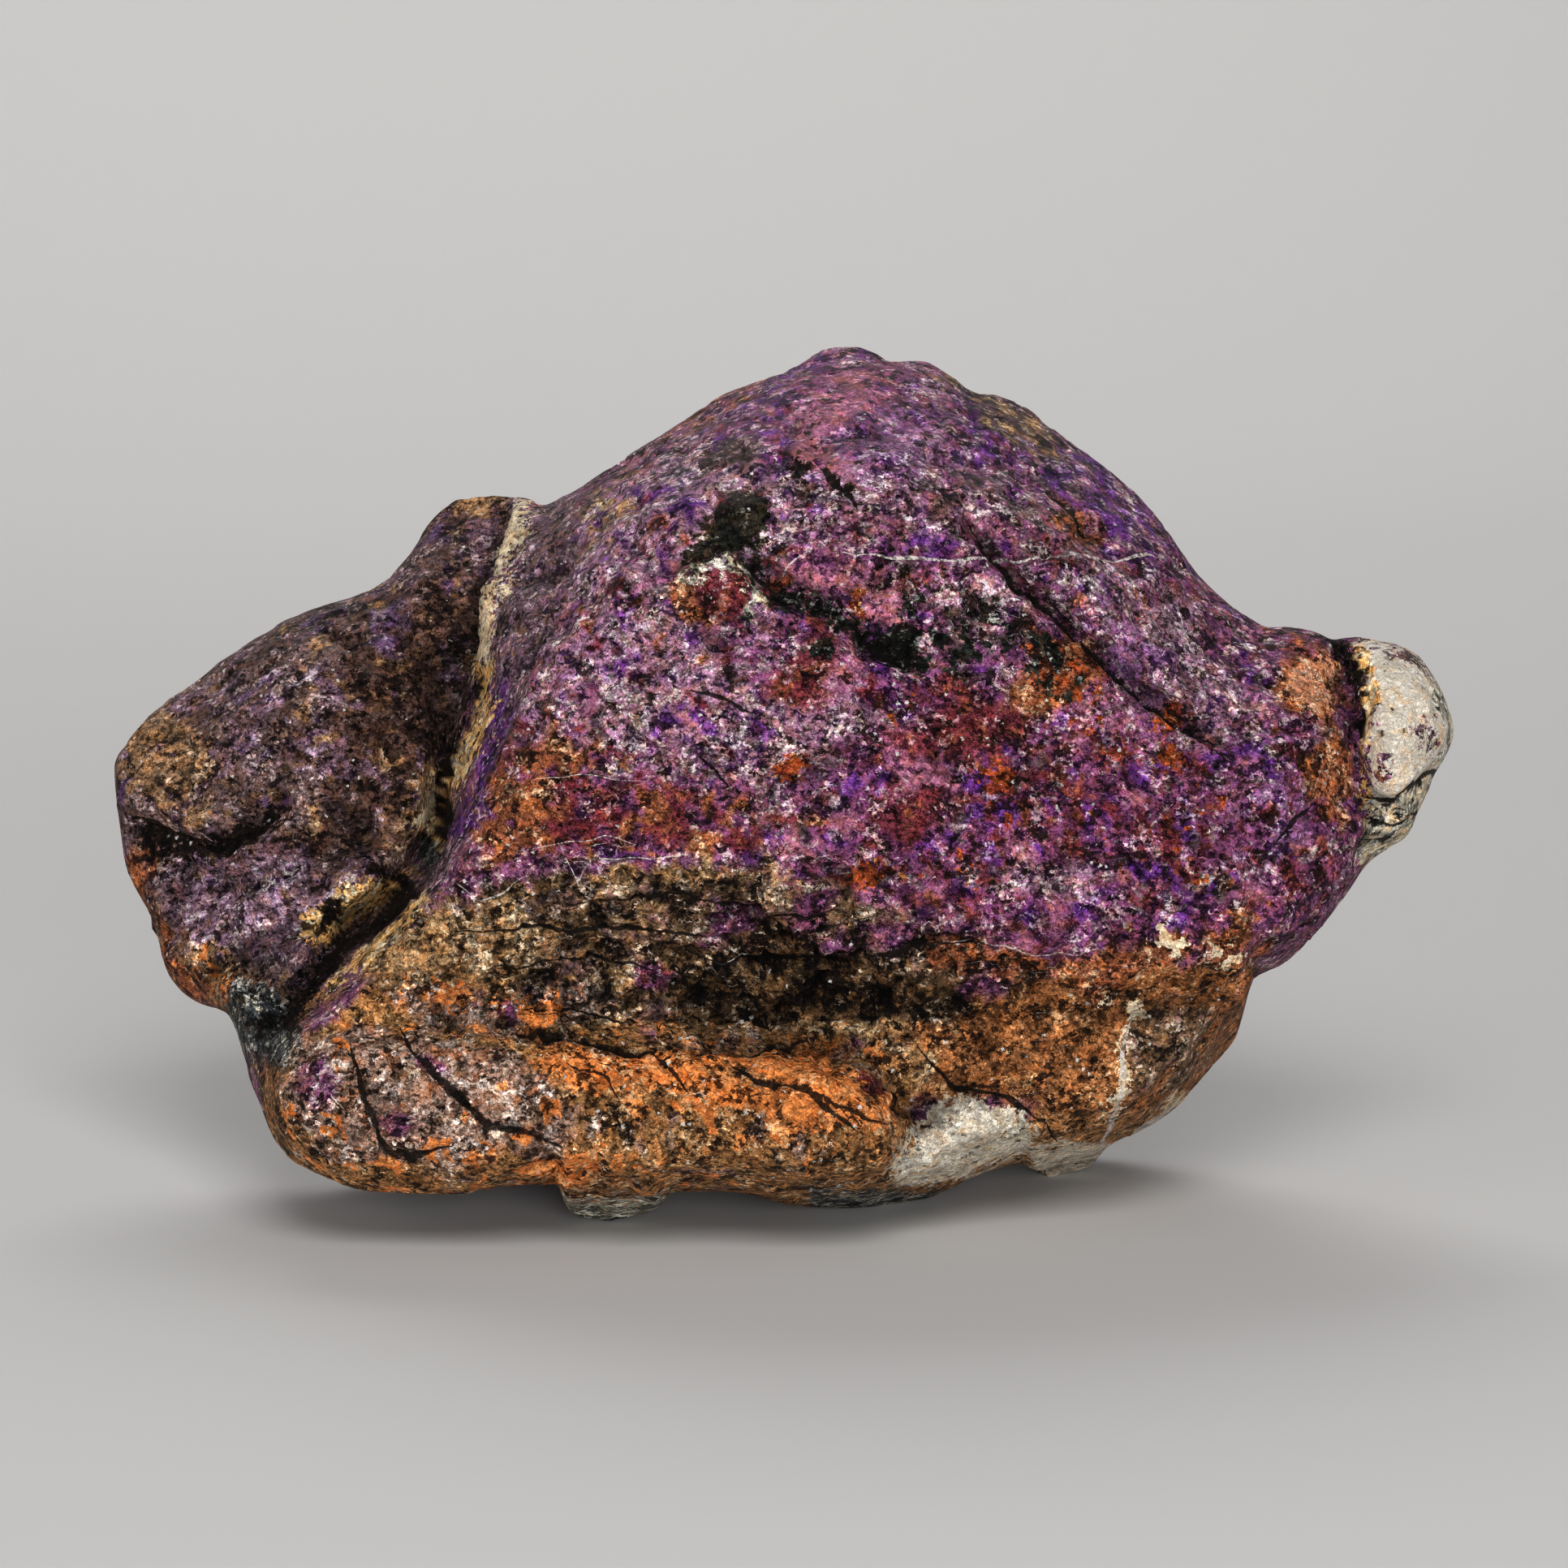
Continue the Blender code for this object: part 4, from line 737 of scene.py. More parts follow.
        (-13.9, 3.2), (-21.2, 0), (-28.9, 3.2)], 0.9, 1.2),
    ("noseGrain", [(-27.3, 9.5), (-23.9, 10.3), (-20.3, 10), (-14.8, 8.6), (-11.2, 5.4), (-12.5, 2.9),
        (-16.6, 2.7), (-20.3, 1.8), (-24.8, 2.7), (-27.5, 5.4)], 0.7, 1.2),
    *spots("noseGrain", (-12.5, 11.3, 2.09, 1, 0.1, 0.5, 0.8), (-18.5, 11.3, 3.18, 1.18, -0.3, 0.6, 1.2)),
    *spots("orange", (-13.5, 11, 1.18, 0.73, 0.1, 0.3, 0.7), (-18.5, 12, 2.27, 0.55, -0.2, 0.4, 0.9)),
    *scattered(ledgeArea, 0.6, 0.6, ("orange", 1.6, 90, 0.14), ("waist", 1.8, 91, 0.16),
        ("noseGrain", 1.8, 92, 0.12)),
    ("orange", [(-14.4, 8.6), (-10.3, 9), (-4.8, 9.1), (1.5, 9.3), (4.3, 8.1), (6.1, 5.7), (5.2, 4.4),
        (1.5, 4.4), (-1.6, 5.3), (-5.7, 6.6), (-10.3, 6.3), (-13, 7.3)], 0.45, 0.9),
    ("brown", (-2.8, 7.9, 1.55, 0.45, -0.2), 0.3, 0.7),
    # a small black spot of painted shade
    ("gap", (-2.3, 7.9, 0.82, 0.41, 0.2), 0.25, 0.5),
    ("wine", (4.8, 7, 1.18, 0.55, -0.7), 0.3, 0.5),
    *spots("orange", (-12.1, 2.3, 2.09, 0.64, 0, 0.4, 1), (3.4, 2.9, 1.82, 0.73, 0.3, 0.5, 1)),
    *spots("deepPurple", (-19.6, 7.9, 0.91, 0.45, -0.5, 0.25, 0.4),
        (-15.6, 11.1, 0.73, 0.41, -0.9, 0.25, 0.4)),
    *spots("purple", (-25.7, 6.8, 1, 1.18, 0, 0.5, 0.9), (-25.7, 11.1, 2.27, 0.64, 0.6, 0.6, 1),
        (-21.6, 4.8, 1, 0.73, 0, 0.4, 0.8)),
    # the rims of the feet
    ("brown", [(3.4, 4.1), (7, 5), (15.2, 5), (22.5, 5.9), (23.4, 3.2), (18.8, -2.3), (-3, -2.3),
        (-1.2, 0.9)], 0.6, 0.6),
    ("white", [(5.7, 2.3), (6.9, 4), (8.3, 5.6), (10.9, 6.2), (13.6, 5.3), (14.2, 3.5), (11.9, 2.4),
        (9.3, 1.6), (6.6, 1.1)], 0.25, 0.5),
    ("slate", [(1.5, 1), (6.1, 1.2), (10.6, 1.3), (12, 0.4), (8.4, -1.4), (1.5, -1.4)], 0.3, 0.5),
    ("greyFoot", [(1.5, 0.9), (6.1, 1.1), (10.6, 1.2), (12, 0.4), (8.4, -1.4), (1.5, -1.4)], 0.3, 0.5, 0.8,
        113, 0.3),
    ("greyFoot", [(-12.5, 0.7), (-9.4, 0.5), (-6.2, 0.7), (-5.7, -1.8), (-13, -1.8)], 0.25, 0.4),
    ("white", [(13.8, 3.5), (16.1, 3.8), (18.1, 3.5), (17.5, 0.4), (13.8, 0.4)], 0.4, 0.6),
    # the left lobe
    ("lobe", [(-14.1, 40.4), (-14.8, 38.6), (-16.2, 35), (-17.1, 31.3), (-18.5, 25.4), (-19.8, 20.4),
        (-22.5, 17.5), (-26.9, 12.5), (-30.3, 8.6), (-39.4, 8.6), (-39.4, 40.4)], 0.4, 0.5),
    # painted shade where the lobe falls away into the crevice, under the main mass
    ("lobeDark", [(-23.9, 33.8), (-19.1, 35.2), (-16.6, 34.5), (-17.3, 30.4), (-18.7, 25.4), (-19.8, 20.9),
        (-22.1, 19.5), (-24.8, 21.8), (-25.5, 26.8)], 1.8, 2.2),
    # painted shade under the lobe's fold
    ("lobeDark", [(-36.2, 22), (-33, 20), (-28.9, 20.9), (-24.4, 22.7), (-23.9, 20.4), (-28.9, 18.8),
        (-33.9, 18.4), (-36.6, 20)], 1, 1.4),
    *spots("lobeTan", (-34.6, 25.4, 2.73, 3, 0.5, 1.6, 2.2), (-17.3, 39.3, 2.27, 1.09, 0.1, 1, 1.2),
        (-31.4, 12.3, 3.64, 1.55, -0.4, 1.2, 1.8), (-24.4, 16.8, 3.18, 0.91, 0.7, 0.6, 1.2),
        (-20.6, 22.3, 0.91, 2.73, -0.4, 0.6, 1)),
    *scattered(lobeArea, 1.5, 1, ("dullViolet", 2.6, 93, 0.16), ("facet", 2.8, 94, 0.3),
        ("lobeDark", 2.2, 97, 0.16), ("lobeTan", 1.7, 95, 0.1)),
    ("frost", (-28.7, 26.6, 2.73, 4.55, 0.2), 1.5, 1.5, 1, 96, 0.16),
    ("facet", (-30.3, 17.3, 5.45, 3.18, -0.2), 1.5, 1.5),
    ("frost", (-28, 16.8, 5, 2.73, -0.2), 1.5, 1.5, 0.9, 98, 0.18),
    ("lobeTan", (-33.7, 24.1, 2.27, 2.73, 0.2), 1, 1.2, 1.5, 99, 0.55),
    ("rust", (-31.6, 12.5, 3.64, 1.55, -0.4), 0.8, 1.2),
    ("tan", (-32.3, 12.9, 3.18, 1.18, -0.6), 0.8, 1.4),
    ("orange", (-32, 12.5, 3.27, 1.09, -0.6), 0.6, 1.2, 0.9, 112, 0.4),
    ("frost", (-30.3, 16.8, 3.64, 2, 0.3), 1, 1.2, 0.9, 152, 0.4),
    ("lobeTan", (-31.2, 12.6, 2.91, 1.36, -0.5), 0.8, 1.2, 0.9, 153, 0.6),
    ("rust", ([(-36.4, 19.5), (-36, 17.3), (-34.6, 14.5), (-33, 12)], 0.73), 0.6, 1),
    # the crevice, with painted shade along it, and the recess beside the knob
    ("cream", ([(-14.5, 40), (-14.8, 37.9), (-15.5, 36.4), (-15.9, 34.8), (-16.4, 33.2), (-16.8, 31.6),
        (-17.1, 30.7)], 0.41), 0.3, 0.35),
    ("violet", ([(-16.1, 29.1), (-16.4, 25.4), (-17.1, 22.7), (-18, 21.3)], 0.59), 0.8, 0.9, 0.9, 155, 0.7),
    ("crumbs", ([(-17.1, 30.2), (-17.3, 27.8), (-17.7, 26.4), (-18.4, 24.8), (-19.4, 23), (-19.9, 21.7),
        (-19.9, 20.3)], 0.68), 0.3, 0.8),
    ("cream", ([(-18.6, 25), (-19.8, 23), (-20.3, 21.8)], 0.32), 0.3, 0.6),
    ("slate", (-20.1, 20.2, 0.5, 0.91, 0.2), 0.3, 0.4),
    ("crumbs", ([(-26.1, 15.6), (-24.1, 16.9), (-21.7, 18)], 0.91), 0.3, 0.8),
    ("slate", (-29.2, 10.5, 1.82, 2.55, 0.4), 0.4, 0.7),
    ("crumbs", ([(-20.3, 17.2), (-22, 15.3), (-23.9, 14), (-25.5, 12.6)], 0.41), 0.3, 0.6),
    # painted shade, black, down the floor of the crevice
    ("gap", ([(-17.5, 29.8), (-17.9, 27.7), (-18.5, 25.7), (-19.1, 23.8)], 0.32), 0.3, 0.4),
    ("gap", ([(-19.1, 22.9), (-19.3, 19.6)], 0.41), 0.3, 0.4),
    ("gap", ([(-22.9, 19), (-21.6, 18.5), (-21, 18.1)], 0.41), 0.3, 0.5),
    ("gap", ([(-21, 17.9), (-22.2, 16.5), (-23.5, 15.6), (-24.5, 15.1), (-26.2, 13.1), (-27.1, 12.2),
        (-27.7, 10.4)], 0.59), 0.3, 0.35),
    ("gap", (-25.3, 16.6, 0.55, 0.64, 0.3), 0.3, 0.5),
    # painted shadow under the overhanging fold of the lobe
    ("gap", ([(-36.1, 21.2), (-34.9, 20.4), (-33.5, 19.9), (-31.7, 20.2), (-29.9, 21.3), (-28.9, 22)], 0.59),
        0.4, 0.4),
    # the knob
    # painted shade in the recess beside the knob
    ("gap", ([(30.6, 32), (31.9, 30.8), (32.6, 28.2), (32.8, 26.8)], 0.59), 0.4, 0.5),
    ("knobWhite", [(31.9, 31.7), (33.4, 32), (37.9, 32), (38.4, 19.5), (32.9, 19.4), (32.6, 22.3), (33, 25),
        (32.9, 27.7), (32.5, 30)], 0.25, 0.35),
    ("rust", (33.4, 24.3, 0.36, 0.59, 0), 0.3, 0.5),
    *spots("lobe", (36.2, 26.6, 0.45, 0.73, 0.3, 0.3, 0.5), (35.4, 30.7, 1.55, 0.32, -0.5, 0.3, 0.5)),
    ("greyFoot", knobFoot, 0.3, 0.4),
    ("cream", knobFoot, 0.4, 0.5, 0.8, 114, 0.4),
    # painted shade along the knob's right edge, in the grey paint
    ("greyFoot", ([(35.7, 31.1), (36.8, 29.1), (37.3, 26.8), (37, 24.8)], 0.32), 0.3, 0.5, 1.1, 140, 0.5),
    ("crumbs", ([(32.1, 31.3), (32.9, 30), (32.9, 27.7), (32.6, 25.4), (32.5, 22.9)], 0.27), 0.3, 0.5),
    # painted shade in the knob's pits
    *spots("gap", (33.4, 26.6, 0.2, 0.2, 0, 0.12, 0.05), (34.2, 28.1, 0.16, 0.16, 0, 0.12, 0.05),
        (34.8, 26.8, 0.16, 0.16, 0, 0.12, 0.05), (33.9, 25.4, 0.14, 0.14, 0, 0.12, 0.05)),
]

# The same for the back and the hidden sides, as large loose patches: paint, noise size, seed, how much of it
backPatches = [
    ("purple", 9.0, 61, 0.45), ("lobe", 6.0, 62, 0.3), ("rust", 5.0, 63, 0.16), ("waist", 7.0, 64, 0.2),
    ("wine", 4.5, 65, 0.08), ("olive", 5.5, 66, 0.07),
]


def linearTone(tone):  # 0 to 255 as seen, to the linear values that light works with
    tone = np.array(tone) / 255
    return np.where(tone <= 0.04045, tone / 12.92, ((tone + 0.055) / 1.055) ** 2.4)


# each paint as one row: four linear tones, then the cut of a bell curve that leaves each share above it
def paintRow(name):
    *tones, shares, calm = paints[name]
    cuts = [statistics.NormalDist().inv_cdf(1 - share) for share in shares]
    return np.concatenate([*map(linearTone, tones), cuts, [calm]])


# distance to the edge of an area, blob or band in millimetres, less than nothing inside
def shapeDistance(x, v, shape):
    if isinstance(shape, list):
        return areaDistance(x, v, shape)
    if isinstance(shape[0], list):
        return toPath(x, v, shape[0])[0] - shape[1]
    radii, turn = shape[2:4], shape[4]
    return (lump(x, v, shape[:2], radii, 0, 1, 1.0, turn) - 1) * min(radii)


# how coarse the grain is: most in the waist, much on the nose and ledge, least on the main face
def coarseness(places):
    x, v = places[..., 0], places[..., 1]
    coarse = np.full(x.shape, 0.3)
    edge = 2.0  # how soft the change is
    for area, amount in ((waistArea, 0.95), (ledgeArea, 0.55), (faceArea, 0.22)):
        inside = eased(0.5 - areaDistance(x, v, area) / edge)
        coarse = coarse * (1 - inside) + amount * inside
    return coarse


# one where patches of that size cover that share of the surface, with broken edges
def patchMask(places, ragged, size, seed, share):
    patch = hills(places, [(size, 1, seed), (size / 3, 0.4, seed + 20)]) + 0.15 * ragged
    spread = 0.27  # how widely such noise is spread
    edge = statistics.NormalDist(0, spread).inv_cdf(1 - share)
    return eased((patch - edge) / 0.08 + 0.5)


# lays each paint over the ones before it where its shape, made ragged by noise, reaches. Sharp paints are
# kept in rows of their own, with the distance to their edge, less than nothing inside
def painted(places, s):
    x, v = places[..., 0], places[..., 1]
    ragged = hills(places, relief["raggedness"])
    back = np.zeros(places.shape[:-1] + (16,)) + paintRow("backCrust")
    for name, *patch in backPatches:
        mask = patchMask(places, ragged, *patch)[..., None]
        back = back * (1 - mask) + paintRow(name) * mask
    soft = np.zeros(back.shape) + paintRow("purple")
    sharp = np.zeros(back.shape) + paintRow("olive")
    edge = np.full(x.shape, 9.0)  # far away
    wall = creviceWall(places)
    for name, shape, softness, rough, *patch in frontAreas:
        away = shapeDistance(x, v, shape) - rough * ragged
        # the black painted shade is kept a little back from the crevice's steep walls
        if name == "gap":
            away = away + 0.08 * wall
        cover = patchMask(places, ragged, *patch) if patch else 1.0
        if name in sharpPaints:
            if patch:
                away = np.maximum(away, 0.6 - 1.2 * cover)
            take = ((away < 0) | (away < edge))[..., None]
            sharp = np.where(take, paintRow(name), sharp)
            edge = np.minimum(edge, away)
        else:
            mask = (eased(0.5 - away / softness) * cover)[..., None]
            soft = soft * (1 - mask) + paintRow(name) * mask
            if not patch:
                edge = np.maximum(edge, -away)
    knobFrom = rock["knobFrom"]
    beside, wide = 0.7, 0.7  # painted shade in the recess beside the knob
    recessShade = np.exp(-(((x - knobFrom + beside + 0.8 * ragged) / wide) ** 4))[..., None]
    back = back * (1 - recessShade) + paintRow("lobeDark") * recessShade
    knob = eased((x - knobFrom + ragged) / 0.8)
    showing = np.maximum(knob, eased((s + 0.35 + 0.4 * ragged) / 0.3))[..., None]
    edge = np.maximum(edge, 2 - 4 * showing[..., 0])  # no sharp paints behind
    return back * (1 - showing) + soft * showing, sharp, edge


# little planes: space is cut into cells round scattered centres, and each cell leans its own way, flattened
# towards its edges, so that the height jumps from one to the next
def brokenPlanes(places, size, seed):
    random = np.random.default_rng(seed)
    order = random.permutation(256)
    shifts = random.uniform(-0.42, 0.42, (256, 3))
    leans = random.normal(size=(256, 3)) * 0.5
    place = places / size
    cell = np.floor(place).astype(int)
    nearest = np.full(place.shape[:-1], 9.0)
    second = nearest.copy()
    height = np.zeros(nearest.shape)
    for corner in itertools.product((-1, 0, 1), repeat=3):
        at = cell + corner
        mixed = order[(order[(order[at[..., 0] % 256] + at[..., 1]) % 256] + at[..., 2]) % 256]
        away = place - (at + 0.5 + shifts[mixed])
        distance = np.linalg.norm(away, axis=-1)
        closer = distance < nearest
        second = np.where(closer, nearest, np.minimum(second, distance))
        height = np.where(closer, np.sum(away * leans[mixed], axis=-1), height)
        nearest = np.where(closer, distance, nearest)
    return height * (0.4 + 0.6 * eased((second - nearest) / 0.12))


# one on the steep walls of the crevice, which turn away from the viewer
def creviceWall(places):
    facing = np.abs(outward(places)[..., 2])
    reach = toPath(places[..., 0], places[..., 1], rock["creviceFloor"])[0]
    level, softness = relief["wall"]
    return eased((level - facing) / softness) * eased((5.0 - reach) / 2.0)


# layered noise pushed along the normals, level layers in the waist, stepped noise on the purple face,
# cracks cut in and threads standing out. Each of its parts is a height in millimetres
def roughened(places, s, up):
    x, v = places[..., 0], places[..., 1]
    start, run = relief["behindFrom"]
    behind = np.clip((places[..., 2] - start) / run, 0, 1)
    spine = np.abs(up) ** 12  # one along the top and bottom of the rings
    coarse = (hills(places, relief["lumps"]) + behind * hills(places, relief["behind"])) * (1 - 0.7 * spine)
    fine = hills(places, relief["grain"])
    fine = fine + sum(rise * brokenPlanes(places, size, seed) for size, rise, seed in relief["breaks"])
    size, rise, seed = relief["hollows"]
    start, run = relief["hollowsAbove"]
    fine = fine - rise * eased((noise(places, size, seed) - start) / run)
    (middle, height), (wide, tall) = relief["waist"]
    waist = np.exp(-(((v - height) / tall) ** 4) - ((x - middle) / wide) ** 4)
    size, rise, seed = relief["strata"]
    layers = noise(places * relief["strataSquash"], size, seed)
    fine = fine * (1 + 1.2 * waist) + waist * rise * layers
    size, rise, seed = relief["steps"]
    terrace = noise(places, size, seed) * 5
    fine = fine + (1 - waist) * rise * (terrace - np.round(terrace) + eased((terrace % 1) * 5 - 2)) * 0.6
    aside, higher, wider = (rise * noise(places, size, seed) for size, rise, seed in relief["strayed"])
    crack = lineDistance(x + aside, v + higher, cracks, 1 + wider)
    thread = lineDistance(x + aside, v + higher, threads, 1 + wider)
    knob = eased(x - rock["knobFrom"])
    showing = np.maximum(np.clip(s * 8, 0, 1), knob)
    cut = relief["crackDepth"] * np.exp(-(np.abs(crack) ** 1.5)) - relief["threadRise"] * np.exp(-(thread**2))
    for line, halfWidth, depth in relief["folds"]:
        cut = cut + depth * np.exp(-((toPath(x, v, line)[0] / halfWidth) ** 2))
    fine = (fine - showing * cut) * (1 - 0.6 * creviceWall(places))
    for (middle, height), radius in relief["pits"]:
        away = ((x - middle) ** 2 + (v - height) ** 2) / radius**2
        fine = fine - showing * relief["pitDepth"] * np.exp(-(away**2))
    fromEnd = rock["halfLength"] - np.abs(x)
    calm = np.clip(fromEnd, 0, 1) * (1 - 0.75 * spine) * (1 - 0.5 * knob)
    skin = sum(depth * (0.5 - noise(places, size, seed)) for size, depth, seed in relief["knobPits"])
    moved = coarse * np.clip(fromEnd / 3, 0, 1) + fine * calm - knob * (1 - spine) * skin
    return places + outward(places) * moved[..., None], crack, thread


# how far each place lies below the mean of those around it, over that reach in grid steps
def hollowness(places, normal, reach):
    total = np.zeros(places.shape)
    for step in (reach, -reach):
        total += np.roll(places, step, axis=1)
        total += places[np.clip(np.arange(len(places)) + step, 0, len(places) - 1)]
    return np.sum((total / 4 - places) * normal, axis=-1)


# a closed mesh of the rings: quads between them, and a fan of triangles to one point at each end
def closedMesh(name, grid):
    rings, around = grid.shape[:2]
    points = np.vstack([grid[:1, 0], grid[1:-1].reshape(-1, 3), grid[-1:, 0]])
    first = 1 + np.arange((rings - 3) * around).reshape(rings - 3, around)
    beside = first + 1 - around * (np.arange(around) == around - 1)
    quads = np.stack([first, beside, beside + around, first + around], axis=-1).reshape(-1, 4)
    ring = np.arange(around)
    after = (ring + 1) % around
    last = len(points) - 1
    leftFan = np.stack([0 * ring, 1 + after, 1 + ring], axis=-1)
    rightFan = np.stack([0 * ring + last, last - around + ring, last - around + after], axis=-1)
    mesh = bpy.data.meshes.new(name)
    faces = quads.tolist() + leftFan.tolist() + rightFan.tolist()
    mesh.from_pydata((points / perMetre).tolist(), [], faces)
    mesh.shade_smooth()
    return mesh


def perPoint(values):  # grid values in the order of the mesh's points
    return np.concatenate([values[:1, 0], values[1:-1].reshape((-1,) + values.shape[2:]), values[-1:, 0]])


def storeValue(mesh, name, values):
    data = mesh.attributes.new(name, "FLOAT", "POINT").data
    data.foreach_set("value", perPoint(values).astype(np.float32))


def storeTone(mesh, name, values):
    tone = perPoint(values)
    data = mesh.attributes.new(name, "FLOAT_COLOR", "POINT").data
    data.foreach_set("color", np.c_[tone, np.ones(len(tone))].astype(np.float32).ravel())


# the drawn surface with its relief, its paints and lines stored at every point
def makeRock():
    drawn, s, up = drawnSurface(rock["rings"], rock["around"])
    rough, crack, thread = roughened(drawn, s, up)
    low, high = (np.array(corner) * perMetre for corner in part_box("purpurite_rock"))
    grid = np.clip(upright(rough), low - (0, 0, 1), high)
    mesh = closedMesh("purpurite_rock_stone", grid)
    soft, sharp, edge = painted(drawn, s)
    for i, name in enumerate(("mainTone", "deepTone", "sideTone", "paleTone", "fleckCuts")):
        storeTone(mesh, name, soft[..., 3 * i : 3 * i + 3])
        storeTone(mesh, name + "Sharp", sharp[..., 3 * i : 3 * i + 3])
    seen = (s > 0) | (drawn[..., 0] > rock["knobFrom"])
    normal = -outward(grid)  # standing it up mirrors the drawing, which turns the normals round
    near, far = relief["hollowReach"]
    values = {
        "calm": soft[..., 15],
        "calmSharp": sharp[..., 15],
        "sharpEdge": edge,
        "coarse": coarseness(drawn),
        "crackLine": np.where(seen, crack, farOff),
        "threadLine": np.where(seen, thread, farOff),
        # how far each place lies in a hollow, for the painted shade there
        "hollow": hollowness(grid, normal, near) + 0.5 * hollowness(grid, normal, far),
    }
    for name, value in values.items():
        storeValue(mesh, name, value)
    piece = bpy.data.objects.new("purpurite_rock_stone", mesh)
    bpy.context.scene.collection.objects.link(piece)
    print("rock made:", len(mesh.vertices), "points")
    return piece


# Node building: sockets are linked, other values are set
def addNode(tree, kind, inputs=None, **settings):
    made = tree.nodes.new(kind)
    for name, value in settings.items():
        setattr(made, name, value)
    for name, value in (inputs or {}).items():
        if isinstance(value, bpy.types.NodeSocket):
            tree.links.new(value, made.inputs[name])
        else:
            made.inputs[name].default_value = value
    return made


def reckon(tree, operation, *values):
    return addNode(tree, "ShaderNodeMath", dict(enumerate(values)), operation=operation).outputs[0]


def between(tree, share, low, high):  # of two values
    return addNode(tree, "ShaderNodeMix", {0: share, 2: low, 3: high}, data_type="FLOAT").outputs[0]


def blended(tree, share, low, high, how="MIX"):  # of two tones
    inputs = {0: share, 6: low, 7: high}
    return addNode(tree, "ShaderNodeMix", inputs, data_type="RGBA", blend_type=how).outputs[2]


def ramped(tree, value, low, high, outLow=0.0, outHigh=1.0):
    inputs = {"Value": value, "From Min": low, "From Max": high, "To Min": outLow, "To Max": outHigh}
    return addNode(tree, "ShaderNodeMapRange", inputs, interpolation_type="SMOOTHSTEP").outputs[0]


def parted(tree, tone):  # into red, green and blue
    return addNode(tree, "ShaderNodeSeparateColor", {"Color": tone}).outputs


def stored(tree, name, output="Fac"):
    return addNode(tree, "ShaderNodeAttribute", attribute_name=name).outputs[output]


def scaled(tree, place, amount):
    return addNode(tree, "ShaderNodeVectorMath", {0: place, 3: amount}, operation="SCALE").outputs[0]


def shifted(tree, place, way):
    return addNode(tree, "ShaderNodeVectorMath", {0: place, 1: way}, operation="ADD").outputs[0]


def clouds(tree, place, scale, detail, roughness=0.6, output="Fac"):
    inputs = {"Vector": place, "Scale": scale, "Detail": detail, "Roughness": roughness}
    return addNode(tree, "ShaderNodeTexNoise", inputs).outputs[output]


def grains(tree, place, scale):
    return addNode(tree, "ShaderNodeTexVoronoi", {"Vector": place, "Scale": scale}).outputs


# Flecks: cloudy noise and one chance value per small grain, each drawn out to a bell curve of spread one, are
# mixed and cut at a share
def flecksGroup():
    group = bpy.data.node_groups.new("stone flecks", "ShaderNodeTree")
    face = group.interface
    face.new_socket("Place", in_out="INPUT", socket_type="NodeSocketVector")
    usual = {"Cloud Scale": 1.0, "Grain Scale": 4.0, "Grain Part": 0.6, "Cut": 1.0, "Edge": 0.25}
    for name, value in usual.items():
        face.new_socket(name, in_out="INPUT", socket_type="NodeSocketFloat").default_value = value
    for name in ("Mask", "Level", "Round"):
        face.new_socket(name, in_out="OUTPUT", socket_type="NodeSocketFloat")
    given = group.nodes.new("NodeGroupInput").outputs
    cloud = clouds(group, given["Place"], given["Cloud Scale"], 2.5, 0.7)
    grain = grains(group, given["Place"], given["Grain Scale"])
    cloudLevel = reckon(group, "MULTIPLY", reckon(group, "SUBTRACT", cloud, 0.5), 8.0)
    grainLevel = reckon(group, "SUBTRACT", parted(group, grain["Color"])[0], 0.5)
    grainLevel = reckon(group, "MULTIPLY", grainLevel, 3.46)
    level = reckon(group, "MULTIPLY", between(group, given["Grain Part"], cloudLevel, grainLevel), 1.3)
    over = reckon(group, "DIVIDE", reckon(group, "SUBTRACT", level, given["Cut"]), given["Edge"])
    mask = ramped(group, over, -1.0, 1.0)
    addNode(group, "NodeGroupOutput", {"Mask": mask, "Level": level, "Round": grain["Distance"]})
    return group


# Scales are per millimetre. Flecks: scale of their clouds and of their grains, part of the grains, softness
purpleStone = {
    "roughness": (0.5, 0.85),
    "glint": 0.22,  # roughness of the palest flecks
    "shine": 0.08,
    "bump": 0.00022,  # in metres
    "torn": 0.42,  # how far the grains' edges are torn, in millimetres
    "sideFlecks": (0.9, 1.9, 0.25, 0.7),
    "deepFlecks": (1.8, 3.7, 0.36, 0.4),
    "paleFlecks": (2.3, 4.8, 0.42, 0.42),
    "clusters": 0.7,
    "crumbs": 2.3,
    "mottle": 3.2,
    "dust": 9.5,
    "paintedGlintChance": (0.915, 0.925),  # the chance above which a grain catches the light
    "warmer": (1.12, 0.86, 0.62, 1),
    "bluer": (0.8, 0.56, 0.92, 1),
    "creamer": (1.0, 0.9, 0.72, 1),
    "dimmer": (0.16, 0.16, 0.16, 1),
    "sootTone": (0.012, 0.006, 0.005, 1),
    "threadTone": (0.8, 0.72, 0.66, 1),
    "paintedGlintTone": (0.8, 0.76, 0.72, 1),
    "crackTone": (0.007, 0.005, 0.004, 1),
}


